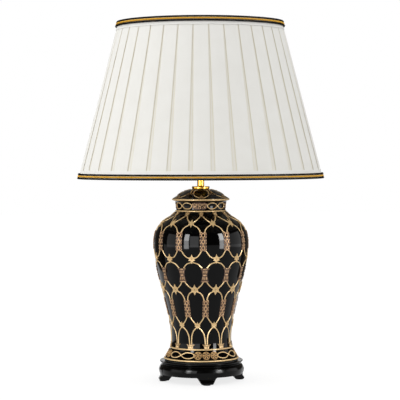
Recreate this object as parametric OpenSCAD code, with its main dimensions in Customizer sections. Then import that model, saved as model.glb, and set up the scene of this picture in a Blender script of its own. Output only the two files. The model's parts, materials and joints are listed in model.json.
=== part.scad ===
/* [Plinth] */
// Thickness of the felt pad under each foot
pad_t = 1.5; // [1:0.5:3]
// Radius of a felt pad
pad_r = 6; // [4:0.5:7]
// Height of the plinth from its soles to its top
plinth_h = 33; // [30:1:40]
// Radius of the plinth's top board
plinth_top_r = 69.5; // [66:0.5:72]
// How far the plinth's bulging apron stands out past its board
apron_out = 0.5; // [0:0.1:3]
// Height of the feet below the apron
foot_h = 10.8; // [9:0.1:14]
// Width of a foot where it meets the apron
foot_w = 33.5; // [28:0.5:40]
// Width of a foot at its sole
sole_w = 21; // [17:0.5:24]
// How far the toes reach past the apron
toe_out = 1.7; // [1:0.1:3]
// Number of feet
foot_count = 4; // [3:1:6]

/* [Jar] */
// Height of the jar from its foot to its lip
jar_h = 265; // [230:5:300]
// Radius of the jar's foot
jar_foot_r = 61.5; // [58:0.5:63]
// Radius of the jar's waist
jar_waist_r = 50; // [46:1:54]
// Radius of the jar's belly
jar_belly_r = 78.2; // [70:0.2:86]
// Radius of the jar's neck
neck_r = 40.4; // [38:0.2:44]
// Radius of the jar's flared lip
lip_r = 45.2; // [44:0.2:47]
// Thickness of the jar's wall
jar_wall = 5; // [4:0.5:7]
// Radius of the lid's rim
lid_r = 46.8; // [46:0.2:52]
// Height of the lid's dome above its rim
lid_h = 17.4; // [14:0.2:24]
// Thickness of the lid's wall
lid_wall = 4.5; // [3.5:0.5:5.5]
// Thickness of the gaskets under the jar and the lid
gasket_t = 1; // [0.8:0.1:2]

/* [Rod and brass fittings] */
// Radius of the hollow threaded rod
rod_r = 5; // [4.5:0.1:5.5]
// Radius of the rod's bore
rod_bore_r = 3.5; // [3:0.1:3.8]
// Radius of the brass cap on the lid
cap_r = 14.7; // [13:0.1:18]
// Thickness of the brass cap
cap_t = 4.8; // [4:0.2:7]
// Radius of the brass sleeve round the rod
sleeve_r = 5.8; // [5.8:0.1:7]
// Length of the brass sleeve
sleeve_len = 20.5; // [16:0.5:30]
// Radius of the hole that the supply cord leaves by
outlet_r = 3.4; // [3:0.1:3.6]

/* [Lampholder and bulb] */
// Outer radius of the lampholder's shell
shell_r = 19.9; // [19.5:0.1:22]
// Height of the lampholder's shell
shell_h = 42; // [40:1:50]
// Outer radius of the bulb's screw cap
bulb_cap_r = 13.1; // [13:0.1:13.3]
// Outer radius of the bulb's globe
bulb_r = 30; // [25:1:34]
// Length of the bulb from its contact to its top
bulb_len = 106; // [96:1:116]
// Radius of the switch knob
knob_r = 5.5; // [5:0.1:7]
// Length of the switch knob
knob_len = 14; // [10:1:20]

/* [Harp] */
// Distance from the axis to each leg of the harp
harp_leg_x = 30; // [28:1:34]
// Radius of the harp's wire
harp_wire_r = 1.75; // [1.5:0.05:2]
// Length of a locking sleeve
lock_len = 14; // [12:1:18]
// Travel of a locking sleeve
lock_travel = 13; // [12:1:16]

/* [Shade] */
// Height of the shade's lower edge above the table
shade_z = 336.5; // [334:0.5:345]
// Height of the shade
shade_h = 260.5; // [240:0.5:280]
// Radius of the pleats at the lower edge
shade_bottom_r = 203; // [190:0.5:220]
// Radius of the pleats at the upper edge
shade_top_r = 135.6; // [120:0.1:150]
// Number of box pleats
pleat_count = 36; // [28:1:40]
// Depth of the recess between two pleats
pleat_depth = 1.6; // [1:0.1:2.2]
// Width of the recess at the lower edge
recess_w_bottom = 7.2; // [4:0.2:10]
// Width of the recess at the upper edge
recess_w_top = 1; // [0.6:0.1:3]
// Turn of the pleats round the axis
pleat_phase = -2.4; // [-5:0.1:5]
// Thickness of the stiff lining
lining_t = 0.6; // [0.4:0.1:1]
// Radius of the two ring wires
ring_wire_r = 1.6; // [1.4:0.1:2]
// Radius of the upright wires
strut_r = 1.2; // [1:0.1:1.6]
// Number of upright wires
strut_count = 8; // [6:1:12]
// Number of spider arms
arm_count = 3; // [3:1:4]
// Height of the white binding round each edge
binding_h = 15; // [13:1:18]
// Radius of each cord in the edge trim
trim_r = 1.6; // [1.4:0.05:1.8]

/* [Hidden] */
$fn = 96;

// Clearances
thread_gap = 0.05; // between a thread and what it holds
seat_gap = 0.1; // between pieces that are pressed or bound together
turn_gap = 0.05; // between faces that turn on each other
drop_gap = 0.6; // round a piece that passes through a hole

// Heights, from the table up
plinth_z = pad_t;
apron_z = plinth_z + foot_h;
plinth_top_z = plinth_z + plinth_h;
jar_z = plinth_top_z + gasket_t;
neck_top_z = jar_z + jar_h;
lid_z = neck_top_z + gasket_t;
lid_top_z = lid_z + lid_h;
cap_top_z = lid_top_z + cap_t;
saddle_z = cap_top_z + sleeve_len;
saddle_t = 1.6;
holder_z = saddle_z + saddle_t;
shade_top_z = shade_z + shade_h;

// Plinth
lip_t = 2.2;
apron_r = plinth_top_r + apron_out;
cove_r = plinth_top_r - 4.4;
cove_z = plinth_top_z - 5.2;
bulge_z = plinth_top_z - 14;
knee_r = apron_r + 1;
toe_r = apron_r + toe_out;
foot_inner_r = apron_r - 20;
sole_inner_r = toe_r - 14.7;
well_r = 34;
well_roof_z = plinth_top_z - 8.5;
cover_t = 1.5;
cover_r = 43;
screw_ring_r = 38.5;
screw_r = 1.4;
screw_len = 9;
screw_count = 3;
outlet_angle = 45;
outlet_z = bulge_z + 0.3;
bush_r = outlet_r + 0.8;
bush_flange_r = bush_r + 1.2;
bush_flange_t = 1.5;
bush_seat_r = apron_r - 2.5;
bush_len = bush_seat_r - well_r + 1.5;

// Jar and lid
jar_floor_t = 6;
jar_recess_h = 3;
foot_rim_w = 11;
waist_z = jar_z + 0.134 * jar_h;
belly_z = jar_z + 0.73 * jar_h;
shoulder_z = jar_z + 0.9 * jar_h;
neck_z = jar_z + 0.957 * jar_h;
foot_band_z = jar_z + 3;
shoulder_r = neck_r + 0.288 * (jar_belly_r - neck_r);
outline_steps = 12;
lid_rim_t = 2.4;
spigot_h = 8;
spigot_r = neck_r - jar_wall - drop_gap - 1;

// Rod fittings
washer_r = 12;
washer_t = 1.6;
nut_t = 6;
nut_across = 17;
nut_z = well_roof_z - washer_t - nut_t;
rod_z = nut_z - 2;
rod_top_z = holder_z + 10;

// Lampholder
shell_wall = 0.8;
holder_neck_r = 7.5;
cup_r = shell_r - shell_wall - seat_gap;
cup_top_z = holder_z + 18.4;
shell_z = cup_top_z - 4;
shell_top_z = shell_z + shell_h;
insulator_z = cup_top_z;
insulator_h = 12;
insulator_top_z = insulator_z + insulator_h;
screw_shell_r = bulb_cap_r + 0.4;
screw_shell_t = 0.5;
screw_shell_h = 22;
liner_r = screw_shell_r + screw_shell_t + 0.2;
liner_t = 0.8;
spindle_r = 2.5;
spindle_z = insulator_z + 5.5;
spindle_inner_y = 9;
collar_r = spindle_r + 1.5;
collar_len = 5;
collar_y = shell_r - shell_wall - 0.3;
knob_y = shell_r + collar_len + 1;

// Bulb
contact_z = insulator_top_z + 3.5;
cap_z = contact_z + 2.6;
cap_len = 23;
globe_neck_r = bulb_cap_r - 0.8;
globe_z = cap_z + cap_len - 8;
globe_centre_z = contact_z + bulb_len - bulb_r;
glass_t = 0.8;
cap_t_wall = 0.35;
thread_pitch = 3.6;
thread_depth = 0.7;
thread_turns = 4;

// Shade
cover_wall = 1;
puff_h = binding_h + 4;
edge_dip = 1.2;
edge_recess = 0.4;
edge_gap = 1;
fold_lean = 0.15;
cover_inner = pleat_depth + cover_wall;
lining_outer = cover_inner + 0.3;
wire_inset = lining_outer + lining_t + 0.2 + ring_wire_r;
binding_t = 0.5;
ring_low_z = shade_z + edge_gap + ring_wire_r;
ring_high_z = shade_top_z - edge_gap - ring_wire_r;
trim_pitch = 2 * trim_r + 0.05;
binding_fold = 0.3;

// Harp, spider and finial
arm_r = 1.5;
arm_drop = 10;
arm_z = ring_high_z - ring_wire_r - arm_r - 0.15;
hub_r = 12;
hub_t = 1.6;
hub_z = arm_z - arm_drop - hub_t / 2;
stud_r = 3.1;
stud_len = 13;
boss_r = 6;
boss_t = 2.4;
boss_z = hub_z - turn_gap - boss_t;
harp_top_z = boss_z - harp_wire_r + 0.4;
ear_r = harp_wire_r + 1.2;
ear_h = 12;
lock_bore_r = ear_r + 0.2;
lock_r = lock_bore_r + 1;
lock_lip = 1.6;
leg_top_z = holder_z + lock_len + lock_travel + 2;
bend_out = 24;
bend_in = 38;
bend_out_r = 40;
crown_half = 6.5;
finial_z = hub_z + hub_t + turn_gap;
insert_flange_r = 6.5;
insert_flange_t = 1.6;
insert_r = 4.6;
insert_h = 10;
finial_r = 8.5;
finial_h = 22;

// Point on a cubic curve between p[0] and p[3]
function bezier_point(p, t) =
    pow(1 - t, 3) * p[0] + 3 * t * pow(1 - t, 2) * p[1] + 3 * t * t * (1 - t) * p[2] + pow(t, 3) * p[3];

// The curve's points after its first one
function bezier(p, steps) = [for (i = [1:steps]) bezier_point(p, i / steps)];

// Radius of the jar's body, which swells smoothly from the waist to the belly
function swell_r(t) = jar_waist_r + (jar_belly_r - jar_waist_r) * t * t * (3 - 2 * t);

// Outer outline of the jar from its foot to its lip
jar_outline = concat(
    [[jar_foot_r - 1, jar_z], [jar_foot_r, jar_z + 1], [jar_foot_r, foot_band_z]],
    [for (i = [1:outline_steps]) let (t = i / outline_steps)
        [jar_waist_r + (jar_foot_r - jar_waist_r) * pow(1 - t, 2.5),
            foot_band_z + (waist_z - foot_band_z) * t]],
    [for (i = [1:outline_steps]) let (t = i / outline_steps)
        [swell_r(t), waist_z + (belly_z - waist_z) * t]],
    bezier([[jar_belly_r, belly_z], [jar_belly_r, belly_z + 0.09 * jar_h],
        [shoulder_r + 0.47 * (jar_belly_r - neck_r), shoulder_z - 0.034 * jar_h],
        [shoulder_r, shoulder_z]], outline_steps),
    bezier([[shoulder_r, shoulder_z], [shoulder_r - 0.15 * (jar_belly_r - neck_r), shoulder_z + 0.011 * jar_h],
        [neck_r, neck_z - 0.03 * jar_h], [neck_r, neck_z]], outline_steps),
    bezier([[neck_r, neck_z], [neck_r, neck_z + 0.024 * jar_h],
        [neck_r + 1, neck_top_z - 0.008 * jar_h], [lip_r, neck_top_z]], outline_steps / 2));

// Outline moved inwards, square to itself, by the wall's thickness
function inward(path, wall) = [for (i = [1:len(path) - 2])
    let (d = path[i + 1] - path[i - 1], n = [d[1], -d[0]] / norm(d)) path[i] - wall * n];

jar_inside = [for (p = inward(jar_outline, jar_wall))
    if (p[1] > jar_z + jar_recess_h + jar_floor_t && p[1] < neck_top_z - 1) p];

// Radius of the shade's cone at a height
function cone_r(z) = shade_bottom_r + (z - shade_z) * (shade_top_r - shade_bottom_r) / shade_h;

// Radius of the pleats' faces, which dip under the binding at both edges
function dip(z) = edge_dip * max(0, 1 - (z - shade_z - edge_gap) / (puff_h - edge_gap))
    + edge_dip * max(0, 1 - (shade_top_z - edge_gap - z) / (puff_h - edge_gap));
function face_r(z) = cone_r(z) - dip(z);

// Radius of the recess between two pleats
function floor_r(z) = face_r(z) - pleat_depth + (pleat_depth - edge_recess) * dip(z) / edge_dip;

// Half the recess's width, as an angle
function recess_angle(z) = let (t = (z - shade_z) / shade_h)
    (recess_w_bottom + (recess_w_top - recess_w_bottom) * t) / cone_r(z) / 2 * 180 / PI;

// Levels of the pleated cover
cover_levels = [shade_z + edge_gap, shade_z + puff_h, shade_top_z - puff_h, shade_top_z - edge_gap];

// Five points of each pleat: three on its face and two on the floor of the recess beside it
function pleat_ring(z) = let (pitch = 360 / pleat_count, g = recess_angle(z),
        turn = [g, pitch / 2, pitch - g, pitch - g + fold_lean, pitch + g - fold_lean])
    [for (k = [0:pleat_count - 1], c = [0:4])
        let (a = pleat_phase - 90 + k * pitch + turn[c], r = c < 3 ? face_r(z) : floor_r(z))
        [r * cos(a), r * sin(a), z]];

// Two points of each pleat inside the cover
function inner_ring(z) = [for (k = [0:2 * pleat_count - 1])
    let (a = pleat_phase - 90 + k * 180 / pleat_count, r = cone_r(z) - cover_inner)
    [r * cos(a), r * sin(a), z]];

// Polygon between two lines that run parallel to the cone, given as insets from it
module cone_band(outer, inner, z_low, z_high) {
    polygon([[cone_r(z_low) - outer, z_low], [cone_r(z_high) - outer, z_high],
        [cone_r(z_high) - inner, z_high], [cone_r(z_low) - inner, z_low]]);
}

module ring(inner, outer, z, h) {
    translate([0, 0, z])
        difference() {
            cylinder(r = outer, h = h);
            translate([0, 0, -1]) cylinder(r = inner, h = h + 2);
        }
}

module felt_pads() {
    color("dimgray")
        foot_places() translate([(sole_inner_r + toe_r) / 2, 0, 0]) cylinder(r = pad_r, h = pad_t);
}

// A foot is a turned outline, cut to the foot's front shape
module plinth_foot() {
    half = foot_w / 2;
    sole = sole_w / 2;
    intersection() {
        rotate_extrude()
            polygon([[foot_inner_r, apron_z + 2], [sole_inner_r, plinth_z], [toe_r - 1, plinth_z],
                [toe_r, plinth_z + 2.2], [toe_r - 0.4, plinth_z + 3.6], [toe_r - 2.2, plinth_z + 6],
                [toe_r - 2.9, plinth_z + 7.8], [knee_r - 1.7, apron_z],
                [knee_r - 0.7, bulge_z - 5], [knee_r - 0.1, bulge_z - 2], [knee_r, bulge_z],
                [knee_r - 1.3, bulge_z + 3.5],
                [cove_r + 1.4, cove_z - 1.6], [cove_r - 2, cove_z - 1], [cove_r - 6, apron_z + 2]]);
        rotate([90, 0, 90])
            linear_extrude(apron_r + 20)
                polygon([[1.4 - sole, plinth_z], [sole - 1.4, plinth_z], [sole, plinth_z + 2],
                    [half - 1.6, apron_z - 1.2], [half, apron_z], [half + 1.5, bulge_z], [half - 3, cove_z],
                    [3 - half, cove_z], [-half - 1.5, bulge_z], [-half, apron_z], [1.6 - half, apron_z - 1.2],
                    [-sole, plinth_z + 2]]);
    }
}

module plinth_body() {
    rotate_extrude()
        polygon(concat(
            [[0, apron_z], [apron_r - 1, apron_z]],
            bezier([[apron_r - 1, apron_z], [apron_r + 0.5, apron_z + 3.5], [apron_r + 1.4, bulge_z + 3.5],
                [cove_r + 2.2, cove_z - 1.6]], outline_steps),
            bezier([[cove_r + 2.2, cove_z - 1.6], [cove_r + 0.2, cove_z - 0.4], [cove_r, cove_z + 0.2],
                [cove_r + 1.6, cove_z + 1.2]], outline_steps / 2),
            bezier([[plinth_top_r - 1.2, plinth_top_z - lip_t],
                [plinth_top_r, plinth_top_z - lip_t + 0.6], [plinth_top_r, plinth_top_z - 0.4],
                [plinth_top_r - 0.8, plinth_top_z]], outline_steps / 2),
            [[0, plinth_top_z]]));
}

module foot_places() {
    for (i = [0:foot_count - 1]) rotate(-90 + i * 360 / foot_count) children();
}

module screw_places() {
    for (i = [0:screw_count - 1])
        rotate(i * 360 / screw_count) translate([screw_ring_r, 0, 0]) children();
}

// Lays what stands on the axis along the line that the cord leaves by
module along_outlet() {
    translate([0, 0, outlet_z]) rotate(outlet_angle) rotate([0, 90, 0]) children();
}

module plinth() {
    color("black")
        difference() {
            union() {
                plinth_body();
                intersection() {
                    foot_places() plinth_foot();
                    translate([0, 0, apron_z]) cylinder(r = apron_r + 20, h = plinth_h);
                }
            }
            cylinder(r = well_r, h = well_roof_z);
            cylinder(r = rod_r + drop_gap, h = plinth_top_z + 1);
            along_outlet() {
                translate([0, 0, well_r - 5]) cylinder(r = bush_r + thread_gap, h = apron_r);
                translate([0, 0, bush_seat_r]) cylinder(r = bush_flange_r + 0.3, h = apron_r);
            }
            screw_places() translate([0, 0, apron_z - 1])
                cylinder(r = screw_r + thread_gap, h = screw_len + 1.5);
        }
}

// The feet are separate blocks, glued under the apron
module plinth_feet() {
    color("black")
        foot_places()
            intersection() {
                plinth_foot();
                cylinder(r = apron_r + 20, h = apron_z);
            }
}

module base_cover() {
    color("black")
        difference() {
            translate([0, 0, apron_z - cover_t]) cylinder(r = cover_r, h = cover_t);
            screw_places() translate([0, 0, apron_z - cover_t - 1])
                cylinder(r = screw_r + 0.3, h = cover_t + 2);
        }
}

module cover_screws() {
    head_h = 1.6;
    color("silver")
        screw_places() {
            translate([0, 0, apron_z - cover_t]) cylinder(r = screw_r, h = screw_len);
            translate([0, 0, apron_z - cover_t - head_h]) cylinder(r1 = 1.9, r2 = 3, h = head_h);
        }
}

module cord_outlet_bush() {
    color("black")
        along_outlet()
            difference() {
                union() {
                    translate([0, 0, bush_seat_r - bush_len]) cylinder(r = bush_r, h = bush_len);
                    translate([0, 0, bush_seat_r + seat_gap])
                        cylinder(r1 = bush_flange_r, r2 = bush_flange_r - 0.5, h = bush_flange_t);
                    translate([0, 0, bush_seat_r - 1]) cylinder(r = bush_r, h = 1.5);
                }
                cylinder(r = outlet_r, h = apron_r + 10);
            }
}

module rod_nut() {
    color("goldenrod")
        translate([0, 0, nut_z])
            difference() {
                cylinder(r = nut_across / 2 / cos(30), h = nut_t, $fn = 6);
                translate([0, 0, -1]) cylinder(r = rod_r + thread_gap, h = nut_t + 2);
            }
}

module rod_washer() {
    color("silver") ring(rod_r + drop_gap / 2, washer_r, nut_z + nut_t, washer_t);
}

module jar_gasket() {
    color("dimgray") ring(jar_foot_r - foot_rim_w + 1, jar_foot_r - 2, plinth_top_z, gasket_t);
}

module jar_body() {
    floor_z = jar_z + jar_recess_h + jar_floor_t;
    first = jar_inside[0];
    last = jar_inside[len(jar_inside) - 1];
    recess_r = jar_foot_r - foot_rim_w;
    color("black")
        rotate_extrude()
            polygon(concat(
                [[rod_r + 2, jar_z + jar_recess_h], [recess_r - 1, jar_z + jar_recess_h], [recess_r, jar_z]],
                jar_outline,
                [[last[0], neck_top_z]],
                [for (i = [len(jar_inside) - 1:-1:0]) jar_inside[i]],
                [[first[0] - 2, floor_z], [rod_r + 2, floor_z]]));
}

module lid_gasket() {
    color("dimgray") ring(neck_r - jar_wall + 2, lip_r - 2, neck_top_z, gasket_t);
}

module jar_lid() {
    seat_r = cap_r - 0.5;
    dome = bezier([[seat_r, lid_top_z], [0.556 * lid_r, lid_top_z],
        [0.748 * lid_r, lid_z + 0.62 * lid_h], [lid_r, lid_z + lid_rim_t]], outline_steps);
    under = [for (p = dome) if (p[0] < spigot_r - 2) [p[0], p[1] - lid_wall]];
    hole_r = rod_r + drop_gap;
    color("black")
        rotate_extrude()
            polygon(concat(
                [[hole_r, lid_top_z - lid_wall], [hole_r, lid_top_z], [seat_r, lid_top_z]],
                dome,
                [[lid_r, lid_z + 0.8], [lid_r - 1, lid_z], [spigot_r, lid_z], [spigot_r, lid_z - spigot_h],
                    [spigot_r - 3.5, lid_z - spigot_h], [spigot_r - 3.5, lid_z]],
                [for (i = [len(under) - 1:-1:0]) under[i]]));
}

module threaded_rod() {
    color("goldenrod") ring(rod_bore_r, rod_r, rod_z, rod_top_z - rod_z);
}

module brass_cap() {
    color("gold")
        rotate_extrude()
            polygon([[rod_r + thread_gap, lid_top_z], [cap_r - 2.1, lid_top_z],
                [cap_r - 0.6, lid_top_z + 0.34 * cap_t], [cap_r, lid_top_z + 0.56 * cap_t],
                [cap_r, cap_top_z - 0.6], [cap_r - 0.6, cap_top_z],
                [rod_r + thread_gap, cap_top_z]]);
}

module rod_sleeve() {
    color("gold") ring(rod_r + thread_gap, sleeve_r, cap_top_z, sleeve_len);
}

// Puts one copy at each leg of the harp
module at_legs() {
    for (side = [-1, 1]) translate([side * harp_leg_x, 0, 0]) children();
}

module harp_saddle() {
    bar_w = 12;
    socket_r = harp_wire_r + thread_gap;
    color("gold")
        difference() {
            union() {
                translate([-harp_leg_x, -bar_w / 2, saddle_z]) cube([2 * harp_leg_x, bar_w, saddle_t]);
                at_legs() translate([0, 0, saddle_z]) cylinder(r = bar_w / 2, h = saddle_t);
                at_legs() translate([0, 0, saddle_z]) cylinder(r = ear_r, h = saddle_t + ear_h);
            }
            translate([0, 0, saddle_z - 1]) cylinder(r = rod_r + thread_gap, h = saddle_t + 2);
            at_legs() translate([0, 0, holder_z]) cylinder(r = socket_r, h = ear_h + 1);
        }
}

// Points of an arc in the X-Z plane, each with the direction that the wire runs in there
function wire_arc(centre, radius, from, to, steps) = [for (i = [0:steps])
    let (a = from + (to - from) * i / steps)
    [centre[0] + radius * cos(a), centre[1] + radius * sin(a), a + (to > from ? 90 : -90)]];

// One leg of the harp: straight, then a bend outwards, a long bow inwards and a tight crown
out_x = harp_leg_x + bend_out_r * (1 - cos(bend_out));
out_z = leg_top_z + bend_out_r * sin(bend_out);
crown_slope = (1 - sin(bend_in)) / cos(bend_in);
bow_r = (harp_top_z - out_z - (out_x - crown_half) * crown_slope)
    / (sin(bend_out) + sin(bend_in) - (cos(bend_out) - cos(bend_in)) * crown_slope);
crown_r = (out_x - bow_r * (cos(bend_out) - cos(bend_in)) - crown_half) / cos(bend_in);
harp_leg = concat(
    [[harp_leg_x, holder_z, 90]],
    wire_arc([harp_leg_x + bend_out_r, leg_top_z], bend_out_r, 180, 180 - bend_out, 4),
    [for (i = [1:8]) wire_arc([out_x - bow_r * cos(bend_out), out_z + bow_r * sin(bend_out)], bow_r,
        -bend_out, bend_in, 8)[i]],
    [for (i = [1:5]) wire_arc([crown_half, harp_top_z - crown_r], crown_r, bend_in, 90, 5)[i]]);

module harp_wire() {
    path = concat(harp_leg, [for (i = [len(harp_leg) - 1:-1:0])
        [-harp_leg[i][0], harp_leg[i][1], 360 - harp_leg[i][2]]]);
    n = 12;
    last = n * (len(path) - 1);
    points = [for (p = path, i = [0:n - 1]) let (a = i * 360 / n, across = harp_wire_r * cos(a))
        [p[0] - across * sin(p[2]), harp_wire_r * sin(a), p[1] + across * cos(p[2])]];
    faces = concat(
        [for (l = [0:len(path) - 2], i = [0:n - 1]) let (j = (i + 1) % n, b = l * n)
            each [[b + i, b + n + i, b + n + j], [b + i, b + n + j, b + j]]],
        [[for (i = [0:n - 1]) i]],
        [[for (i = [n - 1:-1:0]) last + i]]);
    color("gold") polyhedron(points, faces);
}

module harp_stud() {
    color("gold")
        difference() {
            union() {
                translate([0, 0, boss_z - 2]) cylinder(r = boss_r - 1.5, h = 2);
                translate([0, 0, boss_z]) cylinder(r = boss_r, h = boss_t);
                translate([0, 0, boss_z + boss_t]) cylinder(r = stud_r, h = stud_len);
            }
            translate([-boss_r, 0, harp_top_z]) rotate([0, 90, 0])
                cylinder(r = harp_wire_r + thread_gap, h = 2 * boss_r, $fn = 24);
        }
}

// Tube that drops over a saddle ear and locks the harp's leg in it
module lock_sleeve(side) {
    z = holder_z + turn_gap;
    color("gold")
        translate([side * harp_leg_x, 0, z])
            difference() {
                cylinder(r = lock_r, h = lock_len);
                translate([0, 0, -1]) cylinder(r = lock_bore_r, h = lock_len - lock_lip + 1);
                cylinder(r = harp_wire_r + turn_gap, h = lock_len + 1);
            }
}

module lock_sleeve_left() {
    lock_sleeve(-1);
}

module lock_sleeve_right() {
    lock_sleeve(1);
}

module holder_cap() {
    neck_h = 4.4;
    bowl_z = holder_z + neck_h;
    bowl_h = cup_top_z - 4 - bowl_z;
    outer = bezier([[holder_neck_r, bowl_z], [holder_neck_r + 3, bowl_z + 1], [cup_r, bowl_z + 0.4 * bowl_h],
        [cup_r, bowl_z + bowl_h]], outline_steps);
    inner = inward(concat([[holder_neck_r - 2, bowl_z]], outer, [[cup_r, cup_top_z]]), 1);
    color("gold")
        rotate_extrude()
            polygon(concat(
                [[rod_r + thread_gap, holder_z], [holder_neck_r, holder_z], [holder_neck_r, bowl_z]],
                outer,
                [[cup_r, cup_top_z], [cup_r - 1, cup_top_z]],
                [for (i = [len(inner) - 1:-1:0]) inner[i]],
                [[rod_r + thread_gap, bowl_z + 2]]));
}

module holder_shell() {
    color("gold")
        difference() {
            rotate_extrude()
                polygon([[shell_r - shell_wall, shell_z], [shell_r, shell_z], [shell_r, shell_top_z - 2],
                    [shell_r + 0.8, shell_top_z - 1.2], [shell_r, shell_top_z],
                    [shell_r - shell_wall, shell_top_z - 0.4]]);
            translate([0, 0, spindle_z]) rotate([90, 0, 0])
                cylinder(r = collar_r + seat_gap, h = shell_r + 2);
        }
}

module holder_insulator() {
    flex_hole_x = 8;
    color("ivory")
        difference() {
            translate([0, 0, insulator_z]) cylinder(r = cup_r - 0.4, h = insulator_h);
            for (side = [-1, 1])
                translate([side * flex_hole_x, 7, insulator_z - 1]) cylinder(r = 1.6, h = insulator_h + 2);
            for (side = [-1, 1])
                translate([side * 9, -7, insulator_z - 1]) cylinder(r = 1.5 + thread_gap, h = 7);
            translate([0, -spindle_inner_y, spindle_z]) rotate([90, 0, 0])
                cylinder(r = spindle_r + 0.3, h = shell_r);
        }
}

module holder_liner() {
    color("burlywood") ring(liner_r, liner_r + liner_t, insulator_top_z, screw_shell_h + 1);
}

module screw_shell() {
    floor_hole_r = 8;
    color("gold") {
        difference() {
            translate([0, 0, insulator_top_z]) cylinder(r = screw_shell_r + screw_shell_t, h = screw_shell_h);
            translate([0, 0, insulator_top_z + screw_shell_t]) cylinder(r = screw_shell_r, h = screw_shell_h);
            translate([0, 0, insulator_top_z - 1]) cylinder(r = floor_hole_r, h = 3);
        }
    }
}

// Springy tongue that the bulb's contact presses on
module centre_contact() {
    strip = 0.5;
    strip_w = 5;
    rise = contact_z - insulator_top_z - turn_gap;
    color("gold")
        translate([0, strip_w / 2, insulator_top_z])
            rotate([90, 0, 0])
                linear_extrude(strip_w)
                    polygon([[-7, 0], [-4.8, 0], [-1.5, rise - strip], [2.5, rise - strip], [2.5, rise],
                        [-1.8, rise], [-5.1, strip], [-7, strip]]);
}

module terminal_screws() {
    color("silver")
        for (side = [-1, 1])
            translate([side * 9, -7, insulator_z - 2]) {
                cylinder(r = 2.6, h = 2);
                cylinder(r = 1.5, h = 7);
            }
}

// Lays what stands on the axis along the switch spindle, which points to the front
module along_spindle() {
    translate([0, 0, spindle_z]) rotate([90, 0, 0]) children();
}

module switch_collar() {
    color("gold")
        along_spindle()
            difference() {
                union() {
                    translate([0, 0, collar_y]) cylinder(r = collar_r, h = shell_r + collar_len - collar_y);
                    translate([0, 0, shell_r + 0.3]) cylinder(r = collar_r + 1.1, h = 2);
                }
                translate([0, 0, collar_y - 1]) cylinder(r = spindle_r + turn_gap, h = collar_len + 5);
            }
}

module switch_spindle() {
    color("silver")
        along_spindle()
            translate([0, 0, spindle_inner_y + 0.3])
                cylinder(r = spindle_r, h = knob_y + 6 - spindle_inner_y);
}

module switch_knob() {
    rib_count = 14;
    color("saddlebrown")
        along_spindle()
            difference() {
                translate([0, 0, knob_y]) {
                    cylinder(r = knob_r, h = knob_len - 1);
                    translate([0, 0, knob_len - 1]) cylinder(r1 = knob_r, r2 = knob_r - 1, h = 1);
                }
                translate([0, 0, knob_y - 1]) cylinder(r = spindle_r + thread_gap, h = 7.4);
                for (i = [0:rib_count - 1])
                    rotate(i * 360 / rib_count) translate([knob_r + 0.3, 0, knob_y + 2])
                        cylinder(r = 0.8, h = knob_len);
            }
}

module bulb_contact() {
    color("dimgray")
        rotate_extrude()
            polygon([[0, contact_z], [4, contact_z], [4.8, contact_z + 0.8], [9.2, cap_z - 0.2],
                [9.2, cap_z + 0.6], [0, cap_z + 0.6]]);
}

// Screw cap with a rounded thread, drawn as waves of its outline
module bulb_cap() {
    thread_z = cap_z + 3.4;
    steps = 8;
    wave = [for (i = [0:thread_turns * steps])
        [bulb_cap_r - thread_depth / 2 * (1 - cos(i * 360 / steps)), thread_z + i * thread_pitch / steps]];
    rim_z = cap_z + cap_len;
    color("silver")
        rotate_extrude()
            polygon(concat(
                [[9.4, cap_z], [bulb_cap_r, cap_z + 2.6]],
                wave,
                [[bulb_cap_r, rim_z]],
                [[bulb_cap_r - cap_t_wall, rim_z], [bulb_cap_r - thread_depth - cap_t_wall, rim_z - 4.6],
                    [bulb_cap_r - thread_depth - cap_t_wall, cap_z + 2.9], [9.4, cap_z + 0.6]]));
}

module bulb_globe() {
    neck_top = cap_z + cap_len + 1;
    neck_in = bulb_cap_r - thread_depth - cap_t_wall - 0.3;
    body = concat(
        bezier([[globe_neck_r, neck_top], [globe_neck_r, neck_top + 14],
            [bulb_r, globe_centre_z - 18], [bulb_r, globe_centre_z]], outline_steps),
        [for (a = [9:9:81]) [bulb_r * cos(a), globe_centre_z + bulb_r * sin(a)]]);
    color("white")
        rotate_extrude()
            polygon(concat(
                [[neck_in, globe_z], [neck_in, neck_top - 6], [globe_neck_r - 0.3, neck_top - 1.5],
                    [globe_neck_r, neck_top]],
                body,
                [[0, globe_centre_z + bulb_r], [0, globe_centre_z + bulb_r - glass_t]],
                [for (i = [len(body) - 1:-1:0])
                    let (p = body[i], q = [p[0], p[1] - globe_centre_z])
                    p[1] > globe_centre_z ? [p[0] - glass_t * q[0] / bulb_r, p[1] - glass_t * q[1] / bulb_r]
                        : [p[0] - glass_t, p[1]]],
                [[globe_neck_r - glass_t - 0.3, neck_top - 1.5], [neck_in - glass_t, neck_top - 6],
                    [neck_in - glass_t, globe_z]]));
}

// Triangles that close an edge of the cover, between its outer and inner points
function rim_faces(out, in) = let (n = 5 * pleat_count, m = 2 * pleat_count)
    [for (k = [0:pleat_count - 1])
        let (a = out + 5 * k, e = out + (5 * k + 5) % n, q = in + 2 * k + 1, s = in + (2 * k + 2) % m,
            t = in + (2 * k + 3) % m)
        each [[a, a + 1, q], [a + 1, a + 2, q], [q, a + 2, a + 3], [q, a + 3, s], [a + 3, a + 4, s],
            [s, a + 4, t], [a + 4, e, t]]];

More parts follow.
